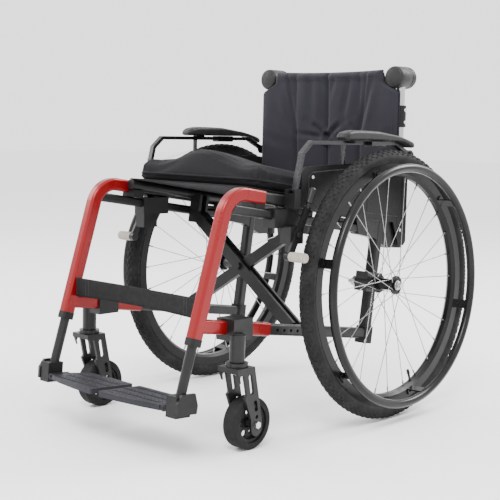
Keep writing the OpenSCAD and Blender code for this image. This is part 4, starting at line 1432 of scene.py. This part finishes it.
class CHAIR_OT_details(bpy.types.Operator):
    """Brake rollers, guard beads and screws"""

    bl_idname = "chair.details"
    bl_label = "Small parts"

    guard_line = ((-0.226, 0.486), (-0.226, 0.540), (-0.216, 0.550), (-0.146, 0.554), (0.052, 0.560),
                  (0.104, 0.556), (0.114, 0.546), (0.114, 0.400), (0.106, 0.392), (0.094, 0.444),
                  (-0.050, 0.461), (-0.150, 0.474))
    guard_face = 0.2185

    def execute(self, context):
        roller_mat = moulded("brake_roller_beige", (0.36, 0.32, 0.28), 0.55, 700)
        bead_mat = moulded("guard_bead_black", (0.014, 0.014, 0.015), 0.32, 900)
        screw_mat = bare_metal("screw_zinc", (0.55, 0.55, 0.56), 0.28, (300, 300, 300))
        screw = screw_shape()
        for side, sign in SIDES:
            body = f"frame_{side}"
            roller = self.roller(side, sign, roller_mat)
            coat(roller, roller_mat)
            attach(roller, f"brake_lever_{side}")
            bead = self.bead(side, sign)
            coat(bead, bead_mat)
            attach(bead, body)
            spots, outs, alongs = self.screws(sign)
            heads = row(f"frame_screws_{side}", screw, spots, outs, alongs, screw_mat)
            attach(heads, body)
        bpy.data.objects.remove(screw)
        return {"FINISHED"}

    def roller(self, side, sign, mat):
        place = Matrix.Translation((sign * 0.2470, -0.151, 0.3815))
        if sign < 0:
            place = place @ Matrix.Rotation(math.pi, 4, "Z")
        sleeve = lathe(f"sleeve_{side}", ((0.0, 0.0088), (0.0, 0.0096), (0.0008, 0.0098), (0.0390, 0.0098),
                                          (0.0402, 0.0092), (0.0406, 0.0080), (0.0404, 0.0040),
                                          (0.0400, 0.0)), 40, None)
        bm = bmesh.new()
        bmesh.ops.create_uvsphere(bm, u_segments=6, v_segments=6, radius=1.0)
        for v in bm.verts:
            v.co = Vector((v.co.x * 0.0165, v.co.y * 0.0008, v.co.z * 0.0006))
        rib = pattern("roller_rib", bm)
        ribs = ring(f"knurl_{side}", rib, 26, 0.0098, 0.0205, mat)
        bpy.data.objects.remove(rib)
        for part in (sleeve, ribs):
            coat(part, mat)
        made = joined(f"brake_roller_{side}", [sleeve, ribs])
        made.data.transform(place)
        return made

    def bead(self, side, sign):
        """The raised line moulded just inside the guard's outline, on its outer face."""
        line = []
        corners = [Vector((sign * self.guard_face, y + AXLE_Y, z)) for y, z in self.guard_line]
        for a, b in zip(corners, corners[1:] + corners[:1]):
            line += [a.lerp(b, k / 6) for k in range(6)]
        outline = tube(f"outline_{side}", line, 0.0011, True)
        ribs = []
        for k, (y, low, high) in enumerate(((-0.02, 0.462, 0.556), (0.058, 0.452, 0.557))):
            upright = [Vector((sign * self.guard_face, y + AXLE_Y, z)) for z in np.linspace(low, high, 12)]
            ribs.append(tube(f"rib_{k}_{side}", upright, 0.0010))
        return joined(f"guard_bead_{side}", [outline] + ribs)

    def screws(self, sign):
        """Where the button-head screws sit: cane clamps, guard, and the seat's corner."""
        out = Vector((sign, 0, 0))
        spots, outs, alongs = [], [], []
        for y, z in ((0.108, 0.548), (0.108, 0.412), (-0.212, 0.540)):
            spots.append(Vector((sign * 0.2184, y + AXLE_Y, z)))
            outs.append(out)
            alongs.append(Vector((0, 1, 0)))
        for z in (0.661, 0.689):
            spots.append(Vector((sign * 0.2138, 0.276, z)))
            outs.append(out)
            alongs.append(Vector((0, 1, 0)))
        return spots, outs, alongs


# ---------- panel and run ----------
STEPS = (CHAIR_OT_stage, CHAIR_OT_frame, CHAIR_OT_wheels, CHAIR_OT_treads, CHAIR_OT_plates,
         CHAIR_OT_details, CHAIR_OT_grips, CHAIR_OT_arm_pads, CHAIR_OT_sling, CHAIR_OT_back,
         CHAIR_OT_cushion)


class CHAIR_PT_panel(bpy.types.Panel):
    """Lists the chair's steps and settings"""

    bl_idname = "CHAIR_PT_panel"
    bl_label = "Wheelchair"
    bl_space_type = "VIEW_3D"
    bl_region_type = "UI"
    bl_category = "Wheelchair"

    def draw(self, context):
        for group in (colours(), sizes()):
            box = self.layout.box()
            for name in group.__annotations__:
                box.prop(group, name)
        for step in STEPS:
            self.layout.operator(step.bl_idname)


CLASSES = (ChairColours, ChairSizes, *STEPS, CHAIR_PT_panel)


def register():
    for cls in CLASSES:
        bpy.utils.register_class(cls)
    bpy.types.Scene.chair_colours = bpy.props.PointerProperty(type=ChairColours)
    bpy.types.Scene.chair_sizes = bpy.props.PointerProperty(type=ChairSizes)


def unregister():
    del bpy.types.Scene.chair_colours
    del bpy.types.Scene.chair_sizes
    for cls in reversed(CLASSES):
        bpy.utils.unregister_class(cls)


def main():
    register()
    bpy.ops.chair.stage()
    bpy.ops.chair.frame()
    bpy.ops.chair.wheels()
    bpy.ops.chair.treads()
    bpy.ops.chair.plates()
    bpy.ops.chair.details()
    bpy.ops.chair.grips()
    bpy.ops.chair.arm_pads()
    bpy.ops.chair.sling()
    bpy.ops.chair.back()
    bpy.ops.chair.cushion()


if __name__ == "__main__":
    main()
